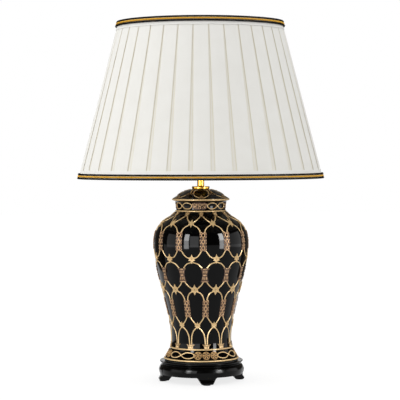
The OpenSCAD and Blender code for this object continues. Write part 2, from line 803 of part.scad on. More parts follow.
module shade_cover() {
    n = 5 * pleat_count;
    m = 2 * pleat_count;
    levels = len(cover_levels);
    low = n * levels;
    high = low + m;
    points = concat([for (z = cover_levels) each pleat_ring(z)],
        inner_ring(cover_levels[0]), inner_ring(cover_levels[levels - 1]));
    faces = concat(
        [for (l = [0:levels - 2], i = [0:n - 1]) let (j = (i + 1) % n, b = l * n)
            each [[b + i, b + n + j, b + j], [b + i, b + n + i, b + n + j]]],
        [for (i = [0:m - 1]) let (j = (i + 1) % m)
            each [[low + i, low + j, high + j], [low + i, high + j, high + i]]],
        rim_faces(0, low),
        [for (f = rim_faces(n * (levels - 1), high)) [f[0], f[2], f[1]]]);
    color("white") polyhedron(points, faces);
}

module shade_lining() {
    color("ivory")
        rotate_extrude()
            cone_band(lining_outer, lining_outer + lining_t, shade_z + edge_gap, shade_top_z - edge_gap);
}

module shade_frame() {
    low_r = cone_r(ring_low_z) - wire_inset;
    high_r = cone_r(ring_high_z) - wire_inset;
    rise = ring_high_z - ring_low_z;
    lean = atan2(high_r - low_r, rise);
    color("silver") {
        for (ring = [[low_r, ring_low_z], [high_r, ring_high_z]])
            translate([0, 0, ring[1]])
                rotate_extrude() translate([ring[0], 0]) circle(r = ring_wire_r, $fn = 24);
        for (i = [0:strut_count - 1])
            rotate((i + 0.5) * 360 / strut_count)
                translate([low_r, 0, ring_low_z]) rotate([0, lean, 0])
                    cylinder(r = strut_r, h = rise / cos(lean), $fn = 24);
    }
}

module shade_spider() {
    ring_r = cone_r(ring_high_z) - wire_inset;
    run = ring_r - hub_r + 3;
    lean = atan2(arm_drop, run);
    color("silver")
        difference() {
            union() {
                translate([0, 0, hub_z]) cylinder(r = hub_r, h = hub_t);
                for (i = [0:arm_count - 1])
                    rotate(90 + i * 360 / arm_count)
                        translate([ring_r, 0, arm_z]) rotate([0, -90 - lean, 0])
                            cylinder(r = arm_r, h = run / cos(lean), $fn = 24);
            }
            translate([0, 0, hub_z - 5]) cylinder(r = stud_r + 0.3, h = 10);
        }
}

// Radius of the binding's outer face, by the distance from the shade's edge; up is 1 at the lower edge and -1
// at the upper
function binding_slope(edge_z, up) =
    (face_r(edge_z + up * binding_h) - face_r(edge_z + up * edge_gap)) / (binding_h - binding_fold);
function binding_face_r(edge_z, up, distance) = face_r(edge_z + up * edge_gap) + seat_gap + binding_t
    + (distance - binding_fold) * binding_slope(edge_z, up);

// White tape folded round an edge of the shade
module binding(edge_z, up) {
    outer_leg = edge_z + up * binding_h;
    inner_leg = edge_z + up * (edge_gap + 2 * ring_wire_r - 0.4);
    web = edge_z + up * (edge_gap - 0.2);
    inset = wire_inset + ring_wire_r + 0.2;
    color("white")
        rotate_extrude()
            polygon([[binding_face_r(edge_z, up, binding_fold), edge_z + up * binding_fold],
                [binding_face_r(edge_z, up, binding_h), outer_leg],
                [face_r(outer_leg) + seat_gap, outer_leg], [face_r(web) + seat_gap, web],
                [cone_r(web) - inset, web], [cone_r(inner_leg) - inset, inner_leg],
                [cone_r(inner_leg) - inset - binding_t, inner_leg],
                [cone_r(edge_z) - inset - binding_t, edge_z + up * binding_fold]]);
}

module binding_bottom() {
    binding(shade_z, 1);
}

module binding_top() {
    binding(shade_top_z, -1);
}

// Round cord laid on the binding, counted from the edge
module trim_cord(edge_z, up, place) {
    distance = trim_r + place * trim_pitch;
    lift = (trim_r + seat_gap) * norm([1, binding_slope(edge_z, up)]);
    translate([0, 0, edge_z + up * distance])
        rotate_extrude()
            translate([binding_face_r(edge_z, up, distance) + lift, 0]) circle(r = trim_r, $fn = 24);
}

module trim_bottom_black() {
    color("black") for (place = [0, 2]) trim_cord(shade_z, 1, place);
}

module trim_bottom_gold() {
    color("goldenrod") trim_cord(shade_z, 1, 1);
}

module trim_top_black() {
    color("black") for (place = [0, 2]) trim_cord(shade_top_z, -1, place);
}

module trim_top_gold() {
    color("goldenrod") trim_cord(shade_top_z, -1, 1);
}

module finial_insert() {
    color("gold")
        difference() {
            union() {
                translate([0, 0, finial_z]) cylinder(r = insert_flange_r, h = insert_flange_t);
                translate([0, 0, finial_z]) cylinder(r = insert_r, h = insert_h);
            }
            translate([0, 0, finial_z - 1]) cylinder(r = stud_r + thread_gap, h = insert_h + 2);
        }
}

module finial_knob() {
    base_z = finial_z + insert_flange_t + turn_gap;
    bore_h = stud_len - insert_flange_t + 1;
    waist_r = insert_r + 1.6;
    ball_z = finial_z + finial_h - finial_r;
    color("gold")
        difference() {
            rotate_extrude()
                polygon(concat(
                    [[0, base_z], [waist_r + 0.8, base_z], [waist_r + 0.8, base_z + 1]],
                    bezier([[waist_r + 0.8, base_z + 1], [waist_r - 1.2, base_z + 2.5],
                        [finial_r, ball_z - 6], [finial_r, ball_z]], outline_steps / 2),
                    [for (a = [15:15:75]) [finial_r * cos(a), ball_z + finial_r * sin(a)]],
                    [[0, ball_z + finial_r]]));
            translate([0, 0, base_z - 1]) cylinder(r = insert_r + thread_gap, h = bore_h + 1);
        }
}

felt_pads();
plinth_feet();
plinth();
base_cover();
cover_screws();
cord_outlet_bush();
rod_nut();
rod_washer();
jar_gasket();
jar_body();
lid_gasket();
jar_lid();
threaded_rod();
brass_cap();
rod_sleeve();
harp_saddle();
harp_wire();
harp_stud();
lock_sleeve_left();
lock_sleeve_right();
holder_cap();
holder_shell();
holder_insulator();
holder_liner();
screw_shell();
centre_contact();
terminal_screws();
switch_collar();
switch_spindle();
switch_knob();
bulb_contact();
bulb_cap();
bulb_globe();
shade_cover();
shade_lining();
shade_frame();
shade_spider();
binding_bottom();
binding_top();
trim_bottom_black();
trim_bottom_gold();
trim_top_black();
trim_top_gold();
finial_insert();
finial_knob();
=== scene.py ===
"""Looks of a bedside lamp: a black glazed jar under raised gilt tracery, on a lacquered plinth, with a pleated shade.

Sizes are in millimetres, as on a workshop drawing, and meshes are in metres.
"""

from __future__ import annotations

import json
import logging
import math
import random
from bisect import bisect_right
from collections.abc import Callable, Sequence
from dataclasses import dataclass, field
from enum import Enum
from itertools import pairwise

import bpy
from mathutils import Matrix, Vector

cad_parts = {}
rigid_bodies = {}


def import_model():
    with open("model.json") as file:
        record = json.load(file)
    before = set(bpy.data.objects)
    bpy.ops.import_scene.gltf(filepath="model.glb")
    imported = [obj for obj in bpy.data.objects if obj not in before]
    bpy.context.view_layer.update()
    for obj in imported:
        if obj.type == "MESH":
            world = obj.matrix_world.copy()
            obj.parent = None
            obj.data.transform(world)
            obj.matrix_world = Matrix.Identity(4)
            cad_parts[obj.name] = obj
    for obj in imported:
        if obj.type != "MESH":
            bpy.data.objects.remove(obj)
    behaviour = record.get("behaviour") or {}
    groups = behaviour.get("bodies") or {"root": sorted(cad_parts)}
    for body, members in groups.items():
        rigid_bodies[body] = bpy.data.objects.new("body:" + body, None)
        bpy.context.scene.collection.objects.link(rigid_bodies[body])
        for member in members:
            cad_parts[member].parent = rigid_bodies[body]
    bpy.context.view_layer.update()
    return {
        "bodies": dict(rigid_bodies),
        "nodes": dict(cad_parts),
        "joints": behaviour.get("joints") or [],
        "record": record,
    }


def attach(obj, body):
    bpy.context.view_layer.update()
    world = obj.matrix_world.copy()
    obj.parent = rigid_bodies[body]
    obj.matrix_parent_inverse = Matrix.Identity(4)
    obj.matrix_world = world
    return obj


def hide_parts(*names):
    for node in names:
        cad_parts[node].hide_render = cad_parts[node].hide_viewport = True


LOG = logging.getLogger("lamp")
MM = 0.001
FRONT = -90.0  # polar angle of the lamp's front, in degrees
FULL_TURN = 2 * math.pi
WHITE = (1.0, 1.0, 1.0, 1.0)

Piece = bpy.types.Object
Socket = bpy.types.NodeSocket
Pair = tuple[float, float]
Triple = tuple[float, float, float]
Outline = list[Pair]
Colour = Triple
Sockets = tuple[tuple[str, object], ...]


def cubic(ends: Sequence[Pair], steps: int) -> Outline:
    """Points of a cubic curve after its first one.

    Args:
        ends: The curve's four control points.
        steps: Number of points.

    Returns:
        The points in order.
    """
    made = []
    for i in range(1, steps + 1):
        t = i / steps
        weights = ((1 - t) ** 3, 3 * t * (1 - t) ** 2, 3 * t * t * (1 - t), t**3)
        made.append(tuple(sum(w * p[axis] for w, p in zip(weights, ends)) for axis in (0, 1)))
    return made


def through(points: Sequence[Pair], steps: int) -> Outline:
    """Smooth line through points of a flat drawing.

    Args:
        points: The points that it passes.
        steps: Number of stretches between two of them.

    Returns:
        The line's points.
    """
    ends = [points[0], *points, points[-1]]
    made = [tuple(points[0])]
    for a, b, c, d in zip(ends, ends[1:], ends[2:], ends[3:]):
        for i in range(1, steps + 1):
            t = i / steps
            made.append(
                tuple(
                    0.5 * (2 * b[k] + (c[k] - a[k]) * t + (2 * a[k] - 5 * b[k] + 4 * c[k] - d[k]) * t**2
                           + (3 * b[k] - a[k] - 3 * c[k] + d[k]) * t**3)
                    for k in (0, 1)
                )
            )
    return made


def mirrored(half: Sequence[Pair]) -> Outline:
    """Closed outline of an ornament whose two sides are alike, from the points of one side."""
    return [*half, *((-x, y) for x, y in half[::-1] if x)]


def oval_outline(half: Pair, count: int, middle: Pair = (0.0, 0.0)) -> Outline:
    """Points at equal steps round an oval.

    Args:
        half: Its half widths.
        count: Number of points.
        middle: Its middle.

    Returns:
        The points in order.
    """
    turns = [FULL_TURN * i / count for i in range(count)]
    return [(middle[0] + half[0] * math.cos(a), middle[1] + half[1] * math.sin(a)) for a in turns]


class Along(Enum):
    """Which of an outline's two numbers a place on it is given by."""

    HEIGHT = 1
    RADIUS = 0


@dataclass(frozen=True)
class TurnedSurface:
    """A surface turned about the lamp's axis, on which ornament is laid.

    Args:
        outline: Radius and height of its points, in order.
        along: What a place on the outline is given by.
    """

    outline: tuple[Pair, ...]
    along: Along = Along.HEIGHT

    def at(self, key: float) -> tuple[float, float, float, float]:
        """Finds a place on the outline.

        Args:
            key: Its height or its radius, as the surface says.

        Returns:
            Radius, height, and the outward normal's two parts there.
        """
        rising = self.outline[0][self.along.value] < self.outline[-1][self.along.value]
        points = self.outline if rising else self.outline[::-1]
        keys = [p[self.along.value] for p in points]
        i = min(max(bisect_right(keys, key), 1), len(points) - 1)
        (r0, z0), (r1, z1) = points[i - 1], points[i]
        t = (key - keys[i - 1]) / max(keys[i] - keys[i - 1], 1e-9)
        before, after = points[max(i - 2, 0)], points[min(i + 1, len(points) - 1)]
        dr, dz = after[0] - before[0], after[1] - before[1]
        size = math.hypot(dr, dz) * (1 if self.along is Along.HEIGHT else -1)
        return r0 + (r1 - r0) * t, z0 + (z1 - z0) * t, dz / size, -dr / size

    def place(self, angle: float, key: float, lift: float = 0.0) -> Vector:
        """Point on the surface or above it.

        Args:
            angle: Polar angle in degrees.
            key: Height or radius.
            lift: Distance above the surface.

        Returns:
            The point, in metres.
        """
        r, z, out, up = self.at(key)
        r, z, a = r + lift * out, z + lift * up, math.radians(angle)
        return Vector((r * math.cos(a), r * math.sin(a), z)) * MM

    def wrap(self, co: Vector, turn: float, key: float) -> Vector:
        """Place on the surface of a point of a flat ornament.

        Args:
            co: The point, in metres, in the X-Y plane.
            turn: Polar angle of the ornament's middle.
            key: Height or radius of its middle.

        Returns:
            The point, in metres.
        """
        if self.along is Along.HEIGHT:
            key += co.y / MM
            r = self.at(key)[0]
        else:
            key -= co.y / MM
            r = key
        return self.place(turn + math.degrees(co.x / MM / r), key, co.z / MM)


class Bench:
    """Hand tools that every sub-assembly is made with."""

    @staticmethod
    def put_down() -> None:
        """Leaves edit mode and deselects everything."""
        if bpy.context.mode != "OBJECT":
            bpy.ops.object.mode_set(mode="OBJECT")
        bpy.ops.object.select_all(action="DESELECT")

    @staticmethod
    def take(*pieces: Piece) -> None:
        """Selects these pieces alone and makes the first one active.

        Args:
            *pieces: What is selected.
        """
        Bench.put_down()
        for piece in pieces:
            piece.select_set(True)
        bpy.context.view_layer.objects.active = pieces[0]

    @staticmethod
    def edit(piece: Piece, mode: str = "VERT") -> None:
        """Opens one piece in edit mode with all of it selected.

        Args:
            piece: The piece.
            mode: Whether its points, edges or faces are picked.
        """
        Bench.take(piece)
        bpy.ops.object.mode_set(mode="EDIT")
        bpy.ops.mesh.select_mode(type=mode)
        bpy.ops.mesh.select_all(action="SELECT")

    @staticmethod
    def settle(piece: Piece) -> Piece:
        """Puts a piece's place, turn and size into its mesh.

        Args:
            piece: The piece.

        Returns:
            The same piece.
        """
        Bench.take(piece)
        bpy.ops.object.transform_apply(location=True, rotation=True, scale=True)
        return piece

    @staticmethod
    def extrude(way: Sequence[float]) -> None:
        """Extrudes what is selected in edit mode by a way in metres."""
        bpy.ops.mesh.extrude_region_move(TRANSFORM_OT_translate={"value": way})

    @staticmethod
    def seal(merge: float = 2e-6) -> None:
        """Merges points that meet, turns the faces outwards and leaves edit mode."""
        bpy.ops.mesh.select_all(action="SELECT")
        bpy.ops.mesh.remove_doubles(threshold=merge)
        bpy.ops.mesh.normals_make_consistent(inside=False)
        Bench.put_down()

    @staticmethod
    def chain(name: str, points: Sequence[Vector], closed: bool = False) -> Piece:
        """Draws a chain of edges by extruding one vertex from point to point.

        Args:
            name: The piece's name.
            points: Where it goes, in metres.
            closed: Whether it comes back to its first point.

        Returns:
            The chain.
        """
        Bench.put_down()
        bpy.ops.mesh.primitive_plane_add(size=0.001, location=points[0])
        piece = bpy.context.object
        piece.name = name
        Bench.edit(piece)
        bpy.ops.mesh.merge(type="CENTER")
        for here, there in pairwise([*points, points[0]] if closed else points):
            Bench.extrude(there - here)
        if closed:
            bpy.ops.mesh.select_all(action="SELECT")
            bpy.ops.mesh.remove_doubles(threshold=1e-6)
        return Bench.settle(piece)

    @staticmethod
    def turned(name: str, outline: Outline, steps: int, closed: bool = False) -> Piece:
        """Turns an outline about the lamp's axis, as on a lathe.

        Args:
            name: The piece's name.
            outline: Radius and height of its points.
            steps: Number of stretches round the axis.
            closed: Whether the outline comes back to its first point.

        Returns:
            The turned piece, with its faces outwards.
        """
        piece = Bench.chain(name, [Vector((r, 0, z)) * MM for r, z in outline], closed)
        Bench.edit(piece)
        bpy.ops.mesh.spin(steps=steps, angle=FULL_TURN, center=(0, 0, 0), axis=(0, 0, 1))
        Bench.seal()
        return piece

    @staticmethod
    def tube(points: Sequence[Vector], radius: float, closed: bool = False) -> Piece:
        """Lays a round bead along a line.

        Args:
            points: The line's points, in metres.
            radius: The bead's radius in millimetres.
            closed: Whether the line comes back to its first point.

        Returns:
            The bead as a closed mesh.
        """
        piece = Bench.chain("bead", points, closed)
        Bench.take(piece)
        bpy.ops.object.convert(target="CURVE")
        line = bpy.context.object
        line.data.bevel_depth = radius * MM
        line.data.bevel_resolution = 1
        line.data.use_fill_caps = True
        bpy.ops.object.convert(target="MESH")
        return bpy.context.object

    @staticmethod
    def plate(outline: Outline, thick: float, crown: float) -> Piece:
        """Makes a flat ornament with a raised middle, lying in the X-Y plane.

        Args:
            outline: Its outline.
            thick: Height of its edge.
            crown: Height of its middle above that.

        Returns:
            The ornament.
        """
        under = 0.6  # how far its underside reaches into what it is laid on
        piece = Bench.chain("plate", [Vector((x, y, -under)) * MM for x, y in outline], closed=True)
        Bench.edit(piece)
        bpy.ops.mesh.edge_face_add()
        Bench.extrude((0, 0, (thick + under) * MM))
        bpy.ops.mesh.poke(offset=crown * MM)
        Bench.seal()
        return piece

    @staticmethod
    def drops(size: Triple, *places: Triple) -> list[Piece]:
        """Sets down drops of slip of one size.

        Args:
            size: Their half widths.
            *places: Their middles, in millimetres.

        Returns:
            The drops.
        """
        made = []
        for place in places:
            Bench.put_down()
            bpy.ops.mesh.primitive_ico_sphere_add(subdivisions=2, radius=MM, location=Vector(place) * MM)
            bpy.context.object.scale = size
            made.append(Bench.settle(bpy.context.object))
        return made

    @staticmethod
    def oval(half: Pair, radius: float, at: Triple, steps: int = 18) -> Piece:
        """Bends a round bead into an oval that lies in the X-Y plane.

        Args:
            half: The oval's half widths.
            radius: The bead's radius.
            at: The oval's middle.
            steps: Number of stretches round it.

        Returns:
            The oval.
        """
        ring = [Vector((x, y, at[2])) * MM for x, y in oval_outline(half, steps, at[:2])]
        return Bench.tube(ring, radius, closed=True)

    @staticmethod
    def joined(name: str, pieces: Sequence[Piece]) -> Piece:
        """Joins pieces of one finish into one object.

        Args:
            name: Name of the whole.
            pieces: What is joined, into the first one.

        Returns:
            The whole.
        """
        Bench.take(*pieces)
        if len(pieces) > 1:
            bpy.ops.object.join()
        pieces[0].name = name
        return pieces[0]

    @staticmethod
    def round_axis(piece: Piece, count: int) -> Piece:
        """Repeats a piece at equal steps round the axis and joins what that gives.

        Args:
            piece: The piece to repeat.
            count: How many there are in the end.

        Returns:
            One piece that holds them all.
        """
        name, copies = piece.name, [piece]
        for i in range(1, count):
            Bench.take(piece)
            bpy.ops.object.duplicate(linked=False)
            bpy.ops.transform.rotate(value=FULL_TURN * i / count, orient_axis="Z", center_override=(0, 0, 0))
            copies.append(Bench.settle(bpy.context.object))
        return Bench.joined(name, copies)

    @staticmethod
    def thicken(piece: Piece, thick: float) -> None:
        """Gives a sheet its thickness in millimetres, half to each side, and shades it smooth.

        Args:
            piece: The sheet.
            thick: Its thickness.
        """
        Bench.take(piece)
        bpy.ops.object.modifier_add(type="SOLIDIFY")
        modifier = piece.modifiers[-1]
        modifier.thickness, modifier.offset = thick * MM, 0.0
        bpy.ops.object.modifier_apply(modifier=modifier.name)
        Bench.smooth(piece, 50)

    @staticmethod
    def smooth(piece: Piece, angle: float) -> None:
        """Shades a piece smooth except over edges sharper than an angle in degrees."""
        Bench.take(piece)
        bpy.ops.object.shade_smooth_by_angle(angle=math.radians(angle))

    @staticmethod
    def move(piece: Piece, rule: Callable[[Vector], Vector]) -> None:
        """Moves each vertex of a piece as a rule says, where no tool gives the shape.

        Args:
            piece: The piece.
            rule: Gives a point's new place from its old one.
        """
        for vertex in piece.data.vertices:
            vertex.co = rule(vertex.co.copy())
        piece.data.update()

    @staticmethod
    def hand_over(piece: Piece, finish: Finish, body: str, node: str = "") -> None:
        """Dresses a finished piece, sets it on the body that it rides on and hides the solid that it stands for.

        Args:
            piece: The piece.
            finish: What it is dressed in.
            body: The body that it rides on.
            node: The solid that it replaces, if any.
        """
        finish.dress(piece)
        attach(piece, body)
        if node:
            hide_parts(node)
        LOG.info("%s: %d faces", piece.name, len(piece.data.polygons))


class Pattern(Enum):
    """What covers a finish's surface."""

    CLOUDS = "soft uneven tone"
    BRUSHED = "fine lines round the axis"
    GRAIN = "pores and grain along one way"
    SPECKLE = "small specks"
    WEAVE = "crossing threads on the piece's own map"
    TWIST = "yarn on the piece's own map"


def linear(colour: Colour) -> tuple[float, float, float, float]:
    """Turns a colour as seen on screen, from 0 to 255, into the numbers that a shader takes."""
    return (*((c / 255 / 12.92) if c <= 10 else ((c / 255 + 0.055) / 1.055) ** 2.4 for c in colour), 1.0)


class Recipe:
    """Nodes of a material or of the world while they are put together."""

    def __init__(self, tree: bpy.types.NodeTree) -> None:
        """Takes the tree that the nodes go into."""
        self.tree = tree

    def node(self, kind: str, **facts: object) -> bpy.types.Node:
        """Adds a node.

        Args:
            kind: Its type, without the ShaderNode in front.
            **facts: Its settings and unlinked inputs. An input's name has underscores for spaces.

        Returns:
            The node.
        """
        made = self.tree.nodes.new("ShaderNode" + kind)
        for key, value in facts.items():
            if hasattr(made, key):
                setattr(made, key, value)
            else:
                self.join(value, made.inputs[key.replace("_", " ")])
        return made

    def join(self, value: object, socket: Socket) -> None:
        """Links an output to a socket, or sets the socket to a number or colour.

        Args:
            value: An output, a number or a colour.
            socket: The input that takes it.
        """
        if isinstance(value, Socket):
            self.tree.links.new(value, socket)
        else:
            socket.default_value = value

    def math(self, operation: str, *values: object) -> Socket:
        """Adds a sum.

        Args:
            operation: What it does.
            *values: Its inputs.

        Returns:
            Its result.
        """
        made = self.tree.nodes.new("ShaderNodeMath")
        made.operation = operation
        for value, socket in zip(values, made.inputs):
            self.join(value, socket)
        return made.outputs[0]

    def mix(self, share: object, first: object, second: object) -> Socket:
        """Mixes two colours by a share.

        Args:
            share: How much of the second colour shows.
            first: One colour.
            second: The other colour.

        Returns:
            The mixed colour.
        """
        made = self.tree.nodes.new("ShaderNodeMix")
        made.data_type = "RGBA"
        for value, socket in zip((share, first, second), (made.inputs[0], made.inputs[6], made.inputs[7])):
            self.join(value, socket)
        return made.outputs[2]

    def spread(self, value: object, low: float, high: float, to_low: float = 0.0, to_high: float = 1.0) -> object:
        """Stretches a range of numbers to another and stops at its ends.

        Args:
            value: The number.
            low: Start of its range.
            high: End of its range.
            to_low: Start of the new range.
            to_high: End of the new range.

        Returns:
            The stretched number.
        """
        made = self.node("MapRange", Value=value)
        for key, number in (("From Min", low), ("From Max", high), ("To Min", to_low), ("To Max", to_high)):
            made.inputs[key].default_value = number
        return made.outputs["Result"]

    def seen(self) -> Socket:
        """Adds up the rays that show the studio white: the camera's, glossy ones and those through glass.

        Returns:
            A number that is 1 for those rays and 0 for others.
        """
        path = self.node("LightPath")
        total = path.outputs["Is Camera Ray"]
        for name in ("Is Glossy Ray", "Is Transmission Ray"):
            total = self.math("ADD", total, path.outputs[name])
            total.node.use_clamp = True
        return total


class Paint(Recipe):
    """A material's nodes round its shader."""

    def __init__(self, name: str, **inputs: object) -> None:
        """Starts a material and sets inputs of its shader.

        Args:
            name: The material's name.
            **inputs: The inputs, with underscores for spaces in their names.
        """
        self.material = bpy.data.materials.new(name)
        self.material.use_nodes = True
        super().__init__(self.material.node_tree)
        self.shader = self.tree.nodes["Principled BSDF"]
        self.put(**inputs)

    def put(self, **inputs: object) -> None:
        """Sets or links inputs of the shader; their names have underscores for spaces."""
        for key, value in inputs.items():
            self.join(value, self.shader.inputs[key.replace("_", " ")])


@dataclass(frozen=True)
class Finish:
    """How one material looks.

    Args:
        name: Its name.
        colour: Its colour, as seen, from 0 to 255.
        second: The colour that it varies to.
        share: How much of the second colour shows, from 0 to 1.
        roughness: Its roughness where it is smoothest.
        dull: Roughness added where it is roughest.
        pattern: What covers it.
        size: Size of the pattern's marks in millimetres.
        relief: Height of the pattern's relief in millimetres.
        wear: Size in millimetres of broad worn or dusty patches, or 0 for none.
        sockets: Settings of the shader's own sockets.
    """

    name: str
    colour: Colour
    second: Colour
    share: float = 0.5
    roughness: float = 0.4
    dull: float = 0.1
    pattern: Pattern = Pattern.CLOUDS
    size: float = 5.0
    relief: float = 0.02
    wear: float = 40.0
    sockets: Sockets = ()

    def marks(self, recipe: Recipe) -> Socket:
        """Builds the pattern.

        Args:
            recipe: The material being made.

        Returns:
            A number from 0 to 1 that follows the pattern.
        """
        per_metre = 1000 / self.size
        coordinates = recipe.node("TexCoord")
        place = coordinates.outputs["Object"]
        if self.pattern is Pattern.CLOUDS:
            return recipe.node("TexNoise", Vector=place, Scale=per_metre, Detail=4.0).outputs[0]
        if self.pattern is Pattern.SPECKLE:
            grains = recipe.node("TexNoise", Vector=place, Scale=per_metre, Detail=2.0).outputs[0]
            return recipe.spread(grains, 0.35, 0.68)
        if self.pattern is Pattern.BRUSHED:
            long = recipe.node("Mapping", Vector=place, Scale=(0.05, 0.05, 1.0)).outputs[0]
            return recipe.node("TexNoise", Vector=long, Scale=per_metre, Detail=3.0).outputs[0]
        if self.pattern is Pattern.GRAIN:
            long = recipe.node("Mapping", Vector=place, Scale=(0.08, 1.0, 1.0)).outputs[0]
            return recipe.node("TexNoise", Vector=long, Scale=per_metre, Detail=5.0, Distortion=0.4).outputs[0]
        laid = recipe.node("SeparateXYZ", Vector=coordinates.outputs["UV"])
        yarns = [recipe.math("SINE", recipe.math("MULTIPLY", laid.outputs[i], FULL_TURN * per_metre))
                 for i in range(1 if self.pattern is Pattern.TWIST else 2)]
        return recipe.spread(yarns[0] if len(yarns) == 1 else recipe.math("MULTIPLY", *yarns), -1.0, 1.0)

    def build(self) -> bpy.types.Material:
        """Makes the material.

        Returns:
            The material, or the one made earlier.
        """
        if self.name in bpy.data.materials:
            return bpy.data.materials[self.name]
        recipe = Paint(self.name)
        marks = self.marks(recipe)
        tone = recipe.math("MULTIPLY", marks, self.share)
        unevenness, least, most = marks, 0.0, 1.0
        if self.wear:
            place = recipe.node("TexCoord").outputs["Object"]
            patches = recipe.node("TexNoise", Vector=place, Scale=1000 / self.wear, Detail=3.0).outputs[0]
            patches = recipe.spread(patches, 0.35, 0.75)
            tone = recipe.math("ADD", tone, recipe.math("MULTIPLY", patches, self.share * 0.5))
            unevenness, least, most = recipe.math("ADD", marks, patches), 0.2, 1.6
        plain = recipe.mix(recipe.spread(tone, 0.0, 1.0), linear(self.colour), linear(self.second))
        rough = recipe.spread(unevenness, least, most, self.roughness, self.roughness + self.dull)
        recipe.put(Base_Color=self.tint(recipe, plain), Roughness=rough)
        if self.relief:
            bump = recipe.node("Bump", Strength=1.0, Distance=self.relief * MM, Height=marks)
            recipe.put(Normal=bump.outputs[0])
        recipe.put(**dict(self.sockets))
        return recipe.material

    def tint(self, recipe: Recipe, colour: Socket) -> Socket:
        """Leaves the colour as it is; a finish that depends on the piece's own marks changes it."""
        return colour

    def dress(self, *pieces: Piece) -> None:
        """Gives pieces this finish and nothing else.

        Args:
            *pieces: The pieces.
        """
        material = self.build()
        for piece in pieces:
            piece.data.materials.clear()
            piece.data.materials.append(material)


@dataclass(frozen=True)
class PaintedShadeFinish(Finish):
    """A finish with painted shade: darker and warmer in folds and hollows, by a mark that each piece carries.

    Args:
        shadow: The painted shadow colour deep in a fold or hollow.
    """

    # Default painted shadow colour, which the shade's cloth takes in the gaps between its pleats.
    shadow: Colour = (220, 209, 176)

    def tint(self, recipe: Recipe, colour: Socket) -> Socket:
        """Mixes the painted shadow in by the piece's own mark of its folds and hollows.

        Args:
            recipe: The material being made.
            colour: The plain colour.

        Returns:
            The colour with its folds.
        """
        depth = recipe.node("Attribute", attribute_name="fold").outputs["Fac"]
        return recipe.mix(depth, colour, linear(self.shadow))


METAL: Sockets = (("Metallic", 1.0),)
GILDED: Sockets = (("Metallic", 0.3),)
FAINT_GLOSS: Sockets = (("IOR", 1.5), ("Specular IOR Level", 0.12))
FAINT_SHEEN: Sockets = (("Sheen Weight", 0.15), ("Sheen Roughness", 0.4))

GLAZE = Finish("black_glaze", (2, 2, 3), (5, 5, 5), 0.5, 0.035, 0.05, Pattern.CLOUDS, 9.0, 0.01, 60.0, FAINT_GLOSS)
# The shadow colours of the three gilts are painted shade, laid on the low ground of the raised ornament by its fold
# mark.
GILT = PaintedShadeFinish("gilt", (244, 212, 156), (216, 178, 122), 0.6, 0.36, 0.2, Pattern.SPECKLE, 1.6, 0.05, 12.0, GILDED,
                shadow=(104, 74, 38))
# Old gilt's own colour is the pinker brown of the bars; its shadow colour is painted shade.
OLD_GILT_SHADED = PaintedShadeFinish("old_gilt_painted_shade", (228, 188, 140), (178, 134, 94), 0.7, 0.42, 0.25, Pattern.SPECKLE, 1.8, 0.1, 9.0,
                    GILDED, shadow=(70, 46, 32))
BROWN_GILT = PaintedShadeFinish("brown_gilt", (230, 186, 118), (190, 144, 84), 0.7, 0.42, 0.25, Pattern.SPECKLE, 1.5, 0.1, 9.0,
                      (("Metallic", 0.35),), shadow=(52, 36, 20))
LACQUER = Finish("black_lacquer", (3, 3, 3), (8, 6, 5), 0.5, 0.12, 0.1, Pattern.GRAIN, 1.2, 0.006, 30.0, FAINT_GLOSS)
BOARD = Finish("black_board", (24, 23, 22), (44, 41, 38), 0.6, 0.7, 0.2, Pattern.SPECKLE, 0.8, 0.04)
FELT = Finish("felt", (52, 52, 50), (84, 82, 78), 0.7, 0.9, 0.1, Pattern.SPECKLE, 0.35, 0.15, 8.0,
              (("Sheen Weight", 0.5), ("Sheen Roughness", 0.5)))
STEEL = Finish("steel", (196, 197, 199), (148, 149, 152), 0.5, 0.24, 0.18, Pattern.BRUSHED, 0.4, 0.01, 15.0, METAL)
BLACK_PLASTIC = Finish("black_plastic", (22, 22, 23), (34, 34, 35), 0.5, 0.4, 0.15, Pattern.SPECKLE, 0.3, 0.02)
RUBBER = Finish("gasket", (48, 47, 46), (68, 66, 63), 0.6, 0.75, 0.15, Pattern.SPECKLE, 0.6, 0.04)
POLISHED_BRASS = Finish("polished_brass", (218, 170, 76), (178, 128, 46), 0.5, 0.07, 0.1, Pattern.BRUSHED, 0.5,
                        0.004, 9.0, METAL)
PLAIN_BRASS = Finish("plain_brass", (214, 178, 108), (158, 120, 62), 0.6, 0.26, 0.2, Pattern.BRUSHED, 0.5, 0.01,
                     12.0, METAL)
PORCELAIN = Finish("porcelain", (240, 238, 230), (222, 216, 202), 0.5, 0.14, 0.15, Pattern.CLOUDS, 2.5, 0.02)
LINER = Finish("liner_board", (176, 142, 100), (138, 104, 70), 0.6, 0.7, 0.15, Pattern.GRAIN, 0.6, 0.04)
BROWN_PLASTIC = Finish("brown_plastic", (70, 44, 28), (40, 25, 17), 0.6, 0.28, 0.15, Pattern.CLOUDS, 3.0, 0.01)
CONTACT_GLASS = Finish("contact_glass", (30, 28, 34), (66, 60, 62), 0.6, 0.15, 0.3, Pattern.CLOUDS, 2.0, 0.02)
BULB_METAL = Finish("bulb_metal", (204, 203, 198), (160, 158, 150), 0.5, 0.22, 0.2, Pattern.BRUSHED, 0.5, 0.01,
                    8.0, METAL)
OPAL = Finish("opal_glass", (244, 243, 238), (232, 231, 226), 0.5, 0.12, 0.1, Pattern.CLOUDS, 6.0, 0.01, 30.0,
              (("Subsurface Weight", 0.3), ("Subsurface Radius", (0.004, 0.004, 0.004)), ("Subsurface Scale", 1.0)))
